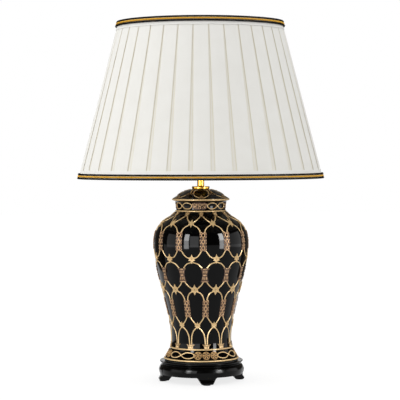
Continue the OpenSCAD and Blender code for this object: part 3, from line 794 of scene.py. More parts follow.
# The cloth's painted shadow, the default shadow colour, darkens the gaps between the pleats.
CLOTH = PaintedShadeFinish("white_cloth", (242, 241, 236), (233, 231, 224), 0.5, 0.82, 0.1, Pattern.WEAVE, 0.7, 0.04, 25.0,
                 FAINT_SHEEN)
LINING = Finish("lining_sheet", (240, 238, 230), (228, 224, 212), 0.5, 0.45, 0.2, Pattern.CLOUDS, 20.0, 0.03)
WHITE_WIRE = Finish("white_wire", (236, 235, 230), (214, 212, 205), 0.5, 0.3, 0.2, Pattern.SPECKLE, 1.5, 0.02)
# The tape's fold mark is nought everywhere, so it shows no painted shade.
TAPE = PaintedShadeFinish("white_tape", (246, 245, 241), (236, 234, 228), 0.5, 0.78, 0.1, Pattern.WEAVE, 0.9, 0.05, 20.0,
                FAINT_SHEEN)
BLACK_CORD = Finish("black_cord", (4, 4, 6), (14, 14, 16), 0.5, 0.45, 0.25, Pattern.TWIST, 0.45, 0.05, 6.0,
                    (("IOR", 1.5), ("Specular IOR Level", 0.1)))
GOLD_CORD = Finish("gold_cord", (255, 202, 66), (238, 164, 42), 0.6, 0.5, 0.25, Pattern.TWIST, 0.45, 0.05, 6.0,
                   (("IOR", 1.5), ("Specular IOR Level", 0.2)))


@dataclass
class Jar:
    """The glazed jar and its lid.

    Args:
        foot_z: Height of the jar's foot.
        height: Height from the foot to the lip.
        foot_r: Radius of the foot.
        waist_r: Radius of the waist.
        belly_r: Radius of the belly.
        neck_r: Radius of the neck.
        lip_r: Radius of the lip.
        wall: Thickness of the wall.
        hole_r: Radius of the hole for the rod.
        lid_z: Height of the lid's rim.
        lid_r: Radius of the lid's rim.
        lid_h: Height of the lid.
        seat_r: Radius of the lid's flat top.
        floor_h: Height of the jar's floor over its foot.
        ring_w: Width of the foot ring.
        spigot_r: Radius of the spigot under the lid.
        spigot_h: Length of the spigot.
        spigot_w: Thickness of the spigot.
        lid_wall: Thickness of the lid.
        lid_hole_r: Radius of the hole in the lid.
        steps: Number of stretches round the axis.
    """

    foot_z: float = 35.5
    height: float = 265.0
    foot_r: float = 61.5
    waist_r: float = 50.0
    belly_r: float = 78.2
    neck_r: float = 40.4
    lip_r: float = 45.2
    wall: float = 5.0
    hole_r: float = 7.0
    lid_z: float = 301.5
    lid_r: float = 46.8
    lid_h: float = 17.4
    seat_r: float = 14.2
    floor_h: float = 9.0
    ring_w: float = 11.0
    spigot_r: float = 33.2
    spigot_h: float = 8.0
    spigot_w: float = 3.5
    lid_wall: float = 4.5
    lid_hole_r: float = 5.6
    steps: int = 144

    def up(self, share: float) -> float:
        """Height at a share of the jar's own height."""
        return self.foot_z + share * self.height

    def body_outline(self) -> Outline:
        """Outside of the jar, from its foot to its lip.

        Returns:
            Radius and height of its points.
        """
        waist, belly, shoulder, neck = (self.up(s) for s in (0.134, 0.73, 0.9, 0.957))
        swell, room = self.belly_r - self.waist_r, self.belly_r - self.neck_r
        shoulder_r = self.neck_r + 0.288 * room
        first = self.foot_z + 3
        made = [(self.foot_r, first)]
        for i in range(1, 15):
            t = i / 14
            made.append((self.waist_r + (self.foot_r - self.waist_r) * (1 - t) ** 2.5, first + (waist - first) * t))
        for i in range(1, 31):
            t = i / 30
            made.append((self.waist_r + swell * t * t * (3 - 2 * t), waist + (belly - waist) * t))
        made += cubic([(self.belly_r, belly), (self.belly_r, belly + 0.09 * self.height),
                       (shoulder_r + 0.47 * room, shoulder - 0.034 * self.height), (shoulder_r, shoulder)], 16)
        made += cubic([(shoulder_r, shoulder), (shoulder_r - 0.15 * room, shoulder + 0.011 * self.height),
                       (self.neck_r, neck - 0.03 * self.height), (self.neck_r, neck)], 12)
        return made + cubic([(self.neck_r, neck), (self.neck_r, neck + 0.024 * self.height),
                             (self.neck_r + 1, self.up(0.992)), (self.lip_r, self.up(1.0))], 8)

    def lid_outline(self) -> Outline:
        """Outside of the lid's dome, from its seat to its rim.

        Returns:
            Radius and height of its points.
        """
        top = self.lid_z + self.lid_h
        return cubic([(self.seat_r, top), (0.53 * self.lid_r, top),
                      (0.715 * self.lid_r, self.lid_z + 0.6 * self.lid_h), (self.lid_r, self.lid_z + 2.4)], 22)

    def skin(self) -> TurnedSurface:
        """The jar's outside, for what is laid on it."""
        return TurnedSurface(tuple(self.body_outline()))

    def dome(self) -> TurnedSurface:
        """The lid's outside, for what is laid on it."""
        return TurnedSurface(tuple(self.lid_outline()), Along.RADIUS)

    def body(self) -> Piece:
        """Turns the jar's body, hollow, with its foot ring and lip.

        Returns:
            The jar's body.
        """
        outside = self.body_outline()
        inside = []
        for before, here, after in zip(outside, outside[1:], outside[2:]):
            dr, dz = after[0] - before[0], after[1] - before[1]
            size = math.hypot(dr, dz)
            inside.append((here[0] - self.wall * dz / size, here[1] + self.wall * dr / size))
        floor, top = self.foot_z + self.floor_h, self.up(1.0)
        inside = [p for p in inside if floor + 1 < p[1] < top - 1.5]
        ring = self.foot_r - self.ring_w
        outline = [(self.hole_r, floor), (self.hole_r, self.foot_z + 3), (ring - 1, self.foot_z + 3),
                   (ring, self.foot_z), (self.foot_r - 1, self.foot_z), (self.foot_r - 0.3, self.foot_z + 0.3),
                   (self.foot_r, self.foot_z + 1), *outside[:-1], (self.lip_r, top - 0.5), (self.lip_r - 0.5, top),
                   (inside[-1][0], top), *inside[::-1], (inside[0][0] - 2, floor)]
        piece = Bench.turned("jar_glazed_body", outline, self.steps, closed=True)
        Bench.smooth(piece, 40)
        return piece

    def lid(self) -> Piece:
        """Turns the lid, hollow, with its rim and spigot.

        Returns:
            The lid.
        """
        low, top, rim = self.lid_z, self.lid_z + self.lid_h, self.lid_r
        out, inside, end = self.spigot_r, self.spigot_r - self.spigot_w, low - self.spigot_h
        dome = self.lid_outline()
        under = [(r, z - self.lid_wall) for r, z in dome if r < out - 2]
        outline = [(self.lid_hole_r, top - self.lid_wall), (self.lid_hole_r, top), (self.seat_r - 1, top), *dome,
                   (rim, low + 0.8), (rim - 0.3, low + 0.3), (rim - 1, low), (out, low), (out, end), (inside, end),
                   (inside, low), *under[::-1]]
        piece = Bench.turned("jar_glazed_lid", outline, self.steps, closed=True)
        Bench.smooth(piece, 40)
        return piece

    def make(self) -> None:
        """Makes the jar and its lid in place of their plain solids."""
        Bench.hand_over(self.body(), GLAZE, "base", "jar_body")
        Bench.hand_over(self.lid(), GLAZE, "base", "jar_lid")


@dataclass
class Gilding:
    """Raised gilt tracery on the jar and its lid: traditional lattice arches, stars, scrolls and borders.

    Args:
        jar: The jar that carries it.
        columns: Number of columns of bars.
        span: Heights of the lattice's top and foot.
        first: Turn of the first column from the front, at the lattice's top.
        lean: Degrees that a column drifts from there to the foot.
        quarters: Number of repeats of the borders round the neck and the foot.
        arches: Number of arches on the lid.
        line: Radius of a trailed line.
        sink: How far a line's middle lies under the glaze.
        star_rows: Heights of the rows of stars.
        star_sizes: Size of each row's stars.
        scroll_bars: Lowest and highest points and widths of the scrolled bars.
        vase_bar: Lowest and highest point of the waisted bar.
        capital: Lowest and highest point of the leaf capitals.
        crown: Lowest and highest point of the crowns under the neck.
        rings: Height and line radius of the plain rings.
        foot_band: Turn from the front, and height, of the border round the foot.
        neck_band: The same of the border round the neck.
        lid_turn: Turn of the lid's first arch from the front.
    """

    jar: Jar
    columns: int = 12
    span: Pair = (285.0, 60.0)
    first: float = -7.3
    lean: float = 9.1
    quarters: int = 4
    arches: int = 6
    line: float = 1.0
    sink: float = 0.25
    star_rows: tuple[float, ...] = (263.8, 207.2, 156.6, 97.0)
    star_sizes: tuple[float, ...] = (0.8, 1.0, 1.15, 0.74)
    scroll_bars: tuple[Triple, ...] = ((220.0, 250.5, 11.6), (110.5, 139.0, 10.8))
    vase_bar: Pair = (168.8, 192.6)
    capital: Pair = (56.4, 65.4)
    crown: Pair = (274.5, 281.5)
    rings: tuple[Pair, ...] = ((283.3, 1.25), (56.5, 1.3), (38.6, 1.35))
    foot_band: Pair = (0.2, 47.0)
    neck_band: Pair = (-10.9, 292.0)
    lid_turn: float = -6.6
    skin: TurnedSurface = field(init=False)
    dome: TurnedSurface = field(init=False)

    def __post_init__(self) -> None:
        """Takes the two surfaces that the ornament lies on."""
        self.skin, self.dome = self.jar.skin(), self.jar.dome()

    def column(self, z: float) -> float:
        """Angle of the first column of bars at a height; the lattice leans a little."""
        top, low = self.span
        return FRONT + self.first + (top - z) * self.lean / (top - low)

    def trail(self, path: Outline) -> Piece:
        """Trails a line of slip over the jar, through points given by degrees from the column, and height."""
        points = [self.skin.place(self.column(z) + a, z, -self.sink) for a, z in through(path, 5)]
        return Bench.tube(points, self.line)

    @staticmethod
    def lay(piece: Piece, surface: TurnedSurface, turn: float, key: float) -> Piece:
        """Bends a flat ornament on to the jar or the lid and marks its lower parts for painted shade, by how deep
        they lie.

        Args:
            piece: The ornament, flat in the X-Y plane.
            surface: What it is laid on.
            turn: Polar angle of its middle.
            key: Height or radius of its middle.

        Returns:
            The ornament in place.
        """
        # Painted shade: below the low height the gilt takes its full shadow colour, above the high one none.
        high, low = 1.45, 0.75  # heights over the ground where the gilt is bright and where it is dark
        fold = piece.data.attributes.new("fold", "FLOAT", "POINT")
        for vertex in piece.data.vertices:
            fold.data[vertex.index].value = min(max((high - vertex.co.z / MM) / (high - low), 0.0), 1.0)
        Bench.move(piece, lambda co: surface.wrap(co, turn, key))
        return piece

    def star(self, size: float) -> Piece:
        """Six-pointed star with long points up and down and an eye.

        Args:
            size: Its size as a share of the usual one.

        Returns:
            The star, flat.
        """
        half = [(0.0, 7.8), (1.2, 4.4), (2.4, 3.1), (5.4, 2.3), (4.0, 0.0), (5.2, -2.3), (2.3, -3.0), (1.2, -4.6),
                (0.0, -7.8)]
        squat = 1.0 + 0.2 * max(0.0, 1.0 - size) / 0.26
        outline = [(x * size * squat, y * size) for x, y in mirrored(half)]
        return Bench.joined("star", [Bench.plate(outline, 1.45, -0.5),
                                     Bench.oval((1.7 * size, 1.9 * size), 0.5, (0, 0, 1.15))])

    def scroll_bar(self, height: float, width: float) -> Piece:
        """Bar of three stacked scrolls with beads between them.

        Args:
            height: Its height.
            width: Its width.

        Returns:
            The bar, flat.
        """
        pitch, half = height / 3, height / 2
        side = [(width / 2 - 0.9 * math.sin(math.pi * y / pitch) ** 2, y)
                for y in (-half + height * i / 24 for i in range(25))]
        parts = [Bench.plate(mirrored(side), 0.5, 0.15)]
        for y in (-pitch, 0.0, pitch):
            lobes = [(x * (width / 2 - 1.3), y + up * pitch, 0.55) for x in (-1, 1) for up in (-0.24, 0.24)]
            parts += [Bench.oval((2.5, 0.3 * pitch), 0.9, (0, y, 0.8)), *Bench.drops((1.0, 1.9, 0.75), *lobes)]
        beads = [(0, y, 0.9) for y in (-pitch / 2, pitch / 2)]
        horns = [(x * 2.9, y * 0.955, 0.6) for x in (-1, 1) for y in (-half, half)]
        parts += Bench.drops((1.9, 0.95, 0.9), *beads) + Bench.drops((1.9, 1.2, 0.9), *horns)
        return Bench.joined("scroll_bar", parts)

    def waisted_bar(self) -> Piece:
        """Fluted bar with a pointed top, a banded waist and a wider foot.

        Returns:
            The bar, flat.
        """
        half = (self.vase_bar[1] - self.vase_bar[0]) / 2
        side = [(0.0, half - 0.5), (3.6, half - 0.9), (7.5, half), (5.4, half * 0.66), (4.6, half * 0.3), (4.0, 0.0),
                (4.5, -half * 0.3), (5.6, -half * 0.66), (6.7, -half)]
        parts = [Bench.plate(mirrored(side), 0.55, 0.3)]
        for size, y in (((3.7, 1.2, 0.9), 0.0), ((4.2, 1.0, 0.8), half - 2.2), ((6.0, 1.0, 0.8), 1.3 - half)):
            parts += Bench.drops(size, (0, y, 0.7))
        for wide, high, out, y in ((1.0, half * 0.24, 2.7, half * 0.43), (1.05, half * 0.31, 2.9, -half * 0.47)):
            parts += Bench.drops((wide, high, 0.8), *((x * out, y, 0.6) for x in (-1, 0, 1)))
        parts += Bench.drops((1.4, 0.8, 0.7), *((x, half - 1.5, 0.5) for x in (-5.9, 5.9)))
        return Bench.joined("waisted_bar", parts)

    def capital_leaf(self) -> Piece:
        """Fluted cup with two spreading leaves, flat, with its foot at the middle.

        Returns:
            The leaves and their cup.
        """
        h = self.capital[1] - self.capital[0]
        half = [(0.0, 0.0), (3.9, 0.0), (4.2, 0.5 * h), (4.9, 0.72 * h), (6.9, 0.9 * h), (6.1, h), (3.6, 0.9 * h),
                (1.6, h), (0.0, 0.94 * h)]
        flutes = [(x, 0.36 * h, 0.7) for x in (-2.5, 0, 2.5)]
        return Bench.joined("leaf", [Bench.plate(mirrored(half), 0.95, 0.1),
                                     *Bench.drops((4.3, 0.95, 0.8), (0, 0.76 * h, 0.7)),
                                     *Bench.drops((1.1, 0.3 * h, 0.95), *flutes)])

    def crown_leaf(self) -> Piece:
        """Small crown that narrows downwards, with an eye, flat, with its top at the middle.

        Returns:
            The crown.
        """
        h = self.crown[1] - self.crown[0]
        shape = mirrored([(-4.1, 0.0), (-3.4, -0.35 * h), (-2.5, -h)])
        return Bench.joined("crown", [Bench.plate(shape, 0.9, -0.2),
                                      Bench.oval((1.9, 0.29 * h), 0.6, (0, -0.48 * h, 0.95))])

    def lattice(self) -> Piece:
        """One column's lines: cups under the crowns, arches over the bars and the long stems to the capitals.

        Returns:
            The lines of one column, joined.
        """
        (low1, top1, _), (low3, top3, _) = self.scroll_bars
        low2, top2 = self.vase_bar
        a, b, c, d = self.star_rows
        paths = [
            [(2.9, 275.0), (7.4, 270.2), (11.2, 267.2), (13.6, 265.4)],
            [(13.4, a - 1.2), (11.6, a - 2.2), (6.5, a - 5.6), (3.8, a - 10.0), (2.8, top1 - 0.4)],
            [(2.6, low1 + 0.4), (3.6, b + 11), (5.2, b + 7.6), (7.8, b + 3.6), (10.4, b + 1.7), (12.4, b + 1.2)],
            [(14.3, b - 5.4), (12.6, b - 6.2), (8.0, b - 8.4), (4.8, b - 12.6), (3.2, top2 - 0.4)],
            [(2.2, low2 + 0.4), (4.4, c + 8.6), (7.4, c + 4.9), (10.6, c + 2.0), (12.6, c + 0.8)],
            [(13.6, c - 2.6), (11.4, c - 3.7), (6.6, c - 6.7), (3.5, c - 12.6), (2.4, top3 - 0.4)],
            [(2.9, low3 + 0.4), (4.1, d + 11.5), (6.2, d + 8.2), (10.2, d + 3.4), (13.2, d + 1.6)],
            [(13.4, d - 3.6), (12.1, d - 4.7), (9.2, d - 7.4), (6.4, d - 10.6), (3.6, d - 16.5), (2.4, d - 23),
             (2.0, 68), (2.0, self.capital[1] - 1)],
        ]
        lines = [self.trail([(side * x, z) for x, z in path]) for side in (-1, 1) for path in paths]
        return Bench.joined("gilt_lattice", lines)

    def chains(self) -> Piece:
        """One quarter of the chains round the foot and the neck: two strands that cross at a tie between the links.

        Returns:
            The strands and ties, joined.
        """
        parts = []
        for (turn, z), high, start in ((self.foot_band, 4.5, 20.3), (self.neck_band, 5.0, 18.5)):
            reach = 45 - start
            half = [(0.45 * (1 - math.cos(a)), math.sin(a)) for a in (math.radians(25 * i) for i in range(7))]
            path = [(start + t * reach, high * y) for t, y in half] + [(45.0, 0.0)]
            path += [(90 - a, -y) for a, y in path[-2::-1]]
            for side in (-1, 1):
                points = [self.skin.place(FRONT + turn + a, z + side * y, 0.1) for a, y in through(path, 4)]
                parts.append(Bench.tube(points, 0.9))
            parts.append(self.lay(*Bench.drops((1.9, 2.1, 1.1), (0, 0, 0.7)), self.skin, FRONT + turn + 45, z))
        return Bench.joined("gilt_chains", parts)

    def rosettes(self) -> Piece:
        """Three round flowers of six petals, each in a ring, side by side on the foot.

        Returns:
            The three flowers, in place.
        """
        parts = []
        for turn in (-13.9, 0.0, 13.9):
            petals = [(x, y, 0.6) for x, y in oval_outline((3.6, 3.6), 6)]
            flower = [Bench.oval((5.7, 5.7), 0.75, (0, 0, 0.6)), Bench.oval((1.5, 1.5), 0.6, (0, 0, 0.9), 10),
                      Bench.plate(oval_outline((5.6, 5.6), 16), 0.15, 0.3),
                      *Bench.drops((1.25, 1.25, 1.1), *petals)]
            parts.append(self.lay(Bench.joined("rosette", flower), self.skin, FRONT + self.foot_band[0] + turn,
                                  self.foot_band[1]))
        return Bench.joined("gilt_rosettes", parts)

    def cartouche(self) -> Piece:
        """Long leafy plate with three rings and a row of buds under them.

        Returns:
            The plate, flat.
        """
        half = [(0.0, 6.4), (4.6, 5.6), (8.6, 6.2), (11.6, 4.6), (13.2, 1.6), (12.6, -2.2), (10.2, -5.0), (6.0, -6.2),
                (2.6, -5.6), (0.0, -6.3)]
        eyes, buds, leaves = (-7.8, 0.2, 8.0), (-9.0, -5.6, -2.0, 1.6, 5.2, 8.8), (-11.4, -3.9, 4.1, 11.5)
        return Bench.joined("gilt_cartouches", [
            Bench.plate(mirrored(half), 0.4, 0.5),
            *(Bench.oval((2.6, 2.5), 0.75, (x, 1.5, 0.7), 14) for x in eyes),
            *Bench.drops((1.0, 1.0, 0.7), *((x, 1.5, 0.6) for x in eyes)),
            *Bench.drops((1.3, 1.7, 0.8), *((x, -3.4 + 0.08 * abs(x), 0.6) for x in buds)),
            *Bench.drops((1.1, 2.2, 0.8), *((x, 2.6, 0.5) for x in leaves))])

    def lid_arch(self) -> Piece:
        """One of the ogee arches on the lid, with the small leaf at its foot.

        Returns:
            The arch and its leaf, in place.
        """
        turn, lines = FRONT + self.lid_turn, []
        half = [(2.6, 45.0), (9.0, 42.6), (17.0, 38.6), (23.5, 31.0), (23.0, 23.5), (14.0, 17.0)]
        for side in (-1, 1):
            points = [self.dome.place(turn + a, r, -0.45) for a, r in through([(side * a, r) for a, r in half], 5)]
            lines.append(Bench.tube(points, 0.95))
        side = [(0.0, 7.4), (-1.9, 4.6), (-3.0, 3.4), (-5.2, 0.6), (-4.6, 0.0)]
        leaf = self.lay(Bench.plate(mirrored(side), 1.0, 0.6), self.dome, turn, 46.2)
        return Bench.joined("gilt_lid_arches", [*lines, leaf])

    def lid_spray(self) -> Piece:
        """One of the leafy sprays between the lid's arches.

        Returns:
            The spray, in place.
        """
        parts = Bench.drops((1.4, 5.2, 1.0), (0, 1.0, 0.2)) + Bench.drops((1.1, 1.6, 0.8), (0, 7.8, 0.2))
        parts += Bench.drops((1.3, 3.8, 1.0), *((x, -0.6, 0.2) for x in (-3.4, 3.4)))
        parts += Bench.drops((1.3, 2.4, 0.9), *((x, -3.0, 0.2) for x in (-6.4, 6.4)))
        spray = Bench.joined("gilt_lid_sprays", parts)
        return self.lay(spray, self.dome, FRONT + self.lid_turn + 180 / self.arches, 34.0)

    def hoops(self) -> Piece:
        """Plain rings at the neck, over and under the foot's border and round the lid's rim.

        Returns:
            The rings, joined.
        """
        beads = [(self.jar.lid_r - 0.35, self.jar.lid_z + 0.5, 1.6)]
        for z, radius in self.rings:
            r, height, out, up = self.skin.at(z)
            beads.append((r - self.sink * out, height - self.sink * up, radius))
        return Bench.joined("gilt_hoops", [Bench.turned("hoop", oval_outline((radius, radius), 8, (r, z)), 120, True)
                                           for r, z, radius in beads])

    def in_column(self, piece: Piece, z: float, aside: float = 0.0) -> Piece:
        """Lays a flat ornament on the first column of bars, or some degrees beside it."""
        return self.lay(piece, self.skin, self.column(z) + aside, z)

    def make(self) -> None:
        """Lays all of the gilding and dresses it."""
        half_column = 180 / self.columns
        stars = [self.in_column(self.star(size), z, half_column) for z, size in zip(self.star_rows, self.star_sizes)]
        bars = [self.in_column(self.scroll_bar(top - low, width), (low + top) / 2)
                for low, top, width in self.scroll_bars]
        bars.append(self.in_column(self.waisted_bar(), sum(self.vase_bar) / 2))
        leaves = [self.lay(self.capital_leaf(), self.skin, self.column(60), self.capital[0]),
                  self.lay(self.crown_leaf(), self.skin, self.column(280), self.crown[1])]
        plate = self.lay(self.cartouche(), self.skin, FRONT + self.neck_band[0], self.neck_band[1])
        for piece, repeats, finish in (
            (self.lattice(), self.columns, GILT),
            (Bench.joined("gilt_stars", stars), self.columns, GILT),
            (Bench.joined("gilt_bars", bars), self.columns, OLD_GILT_SHADED),
            (Bench.joined("gilt_leaves", leaves), self.columns, GILT),
            (self.chains(), self.quarters, GILT),
            (self.rosettes(), self.quarters, BROWN_GILT),
            (plate, self.quarters, OLD_GILT_SHADED),
            (self.lid_arch(), self.arches, GILT),
            (self.lid_spray(), self.arches, BROWN_GILT),
            (self.hoops(), 1, GILT),
        ):
            whole = Bench.round_axis(piece, repeats)
            Bench.smooth(whole, 50)
            Bench.hand_over(whole, finish, "base")


@dataclass
class BrassFittings:
    """The brass cap on the lid and the sleeve over the rod.

    Args:
        cap_z: Height of the cap's underside.
        cap_r: Radius of the cap.
        cap_h: Height of the cap.
        sleeve_r: Radius of the sleeve.
        sleeve_h: Length of the sleeve.
        bore_r: Radius of the hole through both.
    """

    cap_z: float = 318.9
    cap_r: float = 14.7
    cap_h: float = 4.8
    sleeve_r: float = 5.8
    sleeve_h: float = 20.5
    bore_r: float = 5.05

    def cap(self) -> Piece:
        """Turns the cap with its rolled edge.

        Returns:
            The cap.
        """
        z, r, h = self.cap_z, self.cap_r, self.cap_h
        outline = [(self.bore_r, z), (r - 0.8, z), (r - 0.5, z + 0.1), (r - 0.3, z + 0.4)]
        outline += cubic([(r - 0.3, z + 0.4), (r, z + 0.3 * h), (r, z + 0.55 * h), (r, z + 0.75 * h)], 5)
        outline += cubic([(r, z + 0.75 * h), (r, z + h), (r - 0.4, z + h), (r - 1.2, z + h)], 5)
        outline += [(self.bore_r, z + h)]
        return Bench.turned("lid_brass_cap", outline, 96, closed=True)

    def sleeve(self) -> Piece:
        """Turns the sleeve with its ends rounded over.

        Returns:
            The sleeve.
        """
        low, high, r = self.cap_z + self.cap_h, self.cap_z + self.cap_h + self.sleeve_h, self.sleeve_r
        outline = [(self.bore_r, low), (r - 0.3, low), (r, low + 0.3), (r, low + 1), (r, high - 1), (r, high - 0.3),
                   (r - 0.3, high), (self.bore_r, high)]
        return Bench.turned("rod_brass_sleeve", outline, 72, closed=True)

    def make(self) -> None:
        """Makes both in place of their plain solids."""
        for piece, node in ((self.cap(), "brass_cap"), (self.sleeve(), "rod_sleeve")):
            Bench.smooth(piece, 45)
            Bench.hand_over(piece, POLISHED_BRASS, "base", node)


@dataclass
class Shade:
    """The pleated shade: its cloth, the tape round its edges and the cords on the tape.

    Args:
        low_z: Height of the lower edge.
        height: Height of the shade.
        low_r: Radius at the lower edge.
        top_r: Radius at the upper edge.
        pleats: Number of box pleats.
        phase: Turn of the first fold from the front, in degrees.
        gap_low: Width of the gap between two pleats at the lower edge.
        gap_top: The same at the upper edge.
        cut: Cloth that each pleat takes.
        edge: Distance of the cloth's edges from the shade's.
        dip: How far the faces sink under the tape.
        puff: Height over which they sink.
        tape_h: Height of the tape outside.
        tape_w: Width of the tape, laid flat; not used.
        tape_reach: How far the tape's inner half lies inside the cone.
        cord_r: Radius of a cord.
        cord_lay: Length over which a cord's strands turn once.
        levels: Number of rows of faces up the cloth.
    """

    low_z: float = 336.5
    height: float = 260.5
    low_r: float = 203.0
    top_r: float = 135.6
    pleats: int = 36
    phase: float = -2.4
    gap_low: float = 7.2
    gap_top: float = 1.0
    cut: float = 46.75
    edge: float = 1.0
    dip: float = 1.2
    puff: float = 19.0
    tape_h: float = 15.0
    tape_w: float = 25.0
    tape_reach: float = 7.25
    cord_r: float = 1.6
    cord_lay: float = 9.0
    levels: int = 26

    @property
    def top_z(self) -> float:
        """Height of the upper edge."""
        return self.low_z + self.height

    def cone(self, z: float) -> float:
        """Radius of the plain cone at a height."""
        return self.low_r + (z - self.low_z) * (self.top_r - self.low_r) / self.height

    def face(self, z: float) -> float:
        """Radius of the pleats' faces at a height.

        Args:
            z: The height.

        Returns:
            Their radius.
        """
        room = self.puff - self.edge
        low = max(0.0, 1 - (z - self.low_z - self.edge) / room)
        high = max(0.0, 1 - (self.top_z - self.edge - z) / room)
        return self.cone(z) - self.dip * (low + high)

    def folds(self, z: float) -> list[Triple]:
        """Section of one gap between two pleats and the half faces beside it.

        Args:
            z: Its height.

        Returns:
            Distance along the shade, depth under the faces, and share of painted shadow, of each point.
        """
        r = self.face(z)
        t = (z - self.low_z) / self.height
        half_pitch = math.pi * r / self.pleats
        gap = (self.gap_low + (self.gap_top - self.gap_low) * t) / 2
        tuck = max(1.2, (self.cut - 2 * half_pitch) / 4 + 0.3)
        tight = 1 - 0.55 * (self.cone(z) - r) / self.dip
        # The third number of each point is its share of painted shadow: none on the faces, full deep in the gap and
        # under the tuck.
        side = [(-half_pitch, 0.16, 0.0), (-half_pitch + (half_pitch - gap) * 0.45, 0.15, 0.0),
                (-gap - 2.6, 0.15, 0.0), (-gap - 0.9, 0.16, 0.05), (-gap - 0.3, 0.22, 0.2), (-gap, 0.42, 0.6),
                (-gap - 0.3, 0.64, 0.8), (-gap - tuck * 0.5, 0.72, 1.0), (-gap - tuck + 0.3, 0.76, 1.0),
                (-gap - tuck, 0.98, 1.0), (-gap - tuck + 0.4, 1.22, 1.0), (-gap - 0.1, 1.28, 0.9),
                (-gap * 0.45, 1.32, 0.35), (0.0, 1.34, 0.25)]
        # The painted shadow is weaker towards the lower edge.
        side = [(s, 0.15 + (d - 0.15) * tight, f * (0.6 + 0.4 * t)) for s, d, f in side]
        return side + [(-s, d, f) for s, d, f in side[-2::-1]]

    def cover(self) -> Piece:
        """Folds one pleat of cloth, repeats it round the shade and gives it its thickness.

        Returns:
            The pleated cloth.
        """
        low, high = self.low_z + self.edge, self.top_z - self.edge
        heights = [low + (high - low) * i / self.levels for i in range(self.levels + 1)]
        count = len(self.folds(low))
        piece = Bench.chain("shade_pleated_cloth", [Vector((i, 0, 0)) * MM for i in range(count)])
        Bench.edit(piece, "EDGE")
        for _ in heights[1:]:
            Bench.extrude((0, 0, MM))
        Bench.put_down()
        mesh = piece.data
        lay = mesh.uv_layers.new(name="UVMap")
        # The fold mark carries the painted shadow of the gaps between the pleats.
        fold = mesh.attributes.new("fold", "FLOAT", "POINT")
        slant = math.hypot(self.height, self.low_r - self.top_r) / self.height
        sections = [self.folds(z) for z in heights]
        cloth = []
        for section in sections:
            runs = [0.0]
            for (s0, d0, _), (s1, d1, _) in pairwise(section):
                runs.append(runs[-1] + math.hypot(s1 - s0, d1 - d0))
            cloth.append(runs)
        where = {}
        for vertex in mesh.vertices:
            i, k = round(vertex.co.x / MM), round(vertex.co.z / MM)
            s, depth, shadow = sections[k][i]
            z = heights[k]
            r = self.face(z) - depth
            a = math.radians(FRONT + self.phase) + s / self.face(z)
            vertex.co = Vector((r * math.cos(a), r * math.sin(a), z)) * MM
            fold.data[vertex.index].value = shadow
            where[vertex.index] = (cloth[k][i] * MM, (z - low) * slant * MM)
        for loop in mesh.loops:
            lay.data[loop.index].uv = where[loop.vertex_index]
        mesh.update()
        piece = Bench.round_axis(piece, self.pleats)
        Bench.edit(piece)
        Bench.seal(5e-6)
        self.handmade(piece)
        Bench.thicken(piece, 0.28)
        return piece

    def handmade(self, piece: Piece) -> None:
        """Lets the folds run a little unevenly, as pleats laid by hand do.

        Args:
            piece: The pleated cloth.
        """
        rng = random.Random(4)
        drift = [rng.uniform(-1, 1) for _ in range(self.pleats)]
        bow = [rng.uniform(-1, 1) for _ in range(self.pleats)]

        def lean(co: Vector) -> Vector:
            """Moves a point of the cloth along the shade by up to a millimetre.

            Args:
                co: The point.

            Returns:
                Its new place.
            """
            a = math.degrees(math.atan2(co.y, co.x)) - FRONT - self.phase
            k = a / 360 * self.pleats + 0.5
            i, share = int(math.floor(k)) % self.pleats, k - math.floor(k)
            calm = min(share, 1 - share) * 2
            t = (co.z / MM - self.low_z) / self.height
            wave = math.sin(math.pi * min(max(t, 0.0), 1.0))
            turn = (drift[i] * 0.5 + bow[i] * 0.7 * wave) * min(1.0, calm * 1.6) / math.hypot(co.x, co.y) * MM
            sink = 0.12 * MM * bow[i] * wave * calm
            out = Matrix.Rotation(turn, 3, "Z") @ co
            radius = math.hypot(out.x, out.y)
            return Vector((out.x * (1 - sink / radius), out.y * (1 - sink / radius), out.z))

        Bench.move(piece, lean)

    def tape(self, name: str, edge_z: float, up: int) -> Piece:
        """Folds the tape round one edge.

        Args:
            name: The piece's name.
            edge_z: Height of that edge.
            up: 1 at the lower edge and -1 at the upper.

        Returns:
            The tape.
        """
        leg, web = self.tape_h, 0.55  # its height outside, and how far it stands off the cloth's edge
        cone = self.cone(edge_z)
        start, end = self.face(edge_z + up * leg) + 0.36, self.face(edge_z + up * self.edge) + 0.36
        rise = [(start + 0.12, leg - 0.2), (start + 0.2, leg - 0.9), (start + (end - start) * 0.12 + 0.05, leg - 2.2)]
        rise += [(start + (end - start) * share, leg + (web + 0.2 - leg) * share)
                 for share in (0.3, 0.5, 0.7, 0.85, 0.95)]
        rise += [(end - 0.25, web), (cone - 4.8, web - 0.02), (cone - self.tape_reach + 0.25, web + 0.35),
                 (cone - self.tape_reach, web + 1.2), (self.cone(edge_z + up * 3.6) - self.tape_reach, 3.6)]
        piece = Bench.turned(name, [(r, edge_z + up * h) for r, h in rise], self.pleats * 6)
        self.map_turned(piece, self.low_r if up > 0 else self.top_r, edge_z)

        def pucker(co: Vector) -> Vector:
            """Sinks the tape a little over each gap and lets its edge wander.

            Args:
                co: A point of the tape.

            Returns:
                Its new place.
            """
            a = math.atan2(co.y, co.x)
            k = (math.degrees(a) - FRONT - self.phase) / 360 * self.pleats
            over = max(0.0, 1 - abs(k - round(k)) * 9)
            away = abs(co.z / MM - edge_z) / leg
            radius = math.hypot(co.x, co.y)
            scale = 1 - (0.16 * over * away + 0.05 * math.sin(a * 23)) * MM / radius
            lift = 0.22 * MM * away * (math.sin(a * 17) + 0.5 * math.sin(a * 41)) * up if away > 0.8 else 0.0
            return Vector((co.x * scale, co.y * scale, co.z + lift))

        Bench.move(piece, pucker)
        Bench.thicken(piece, 0.34)
        return piece

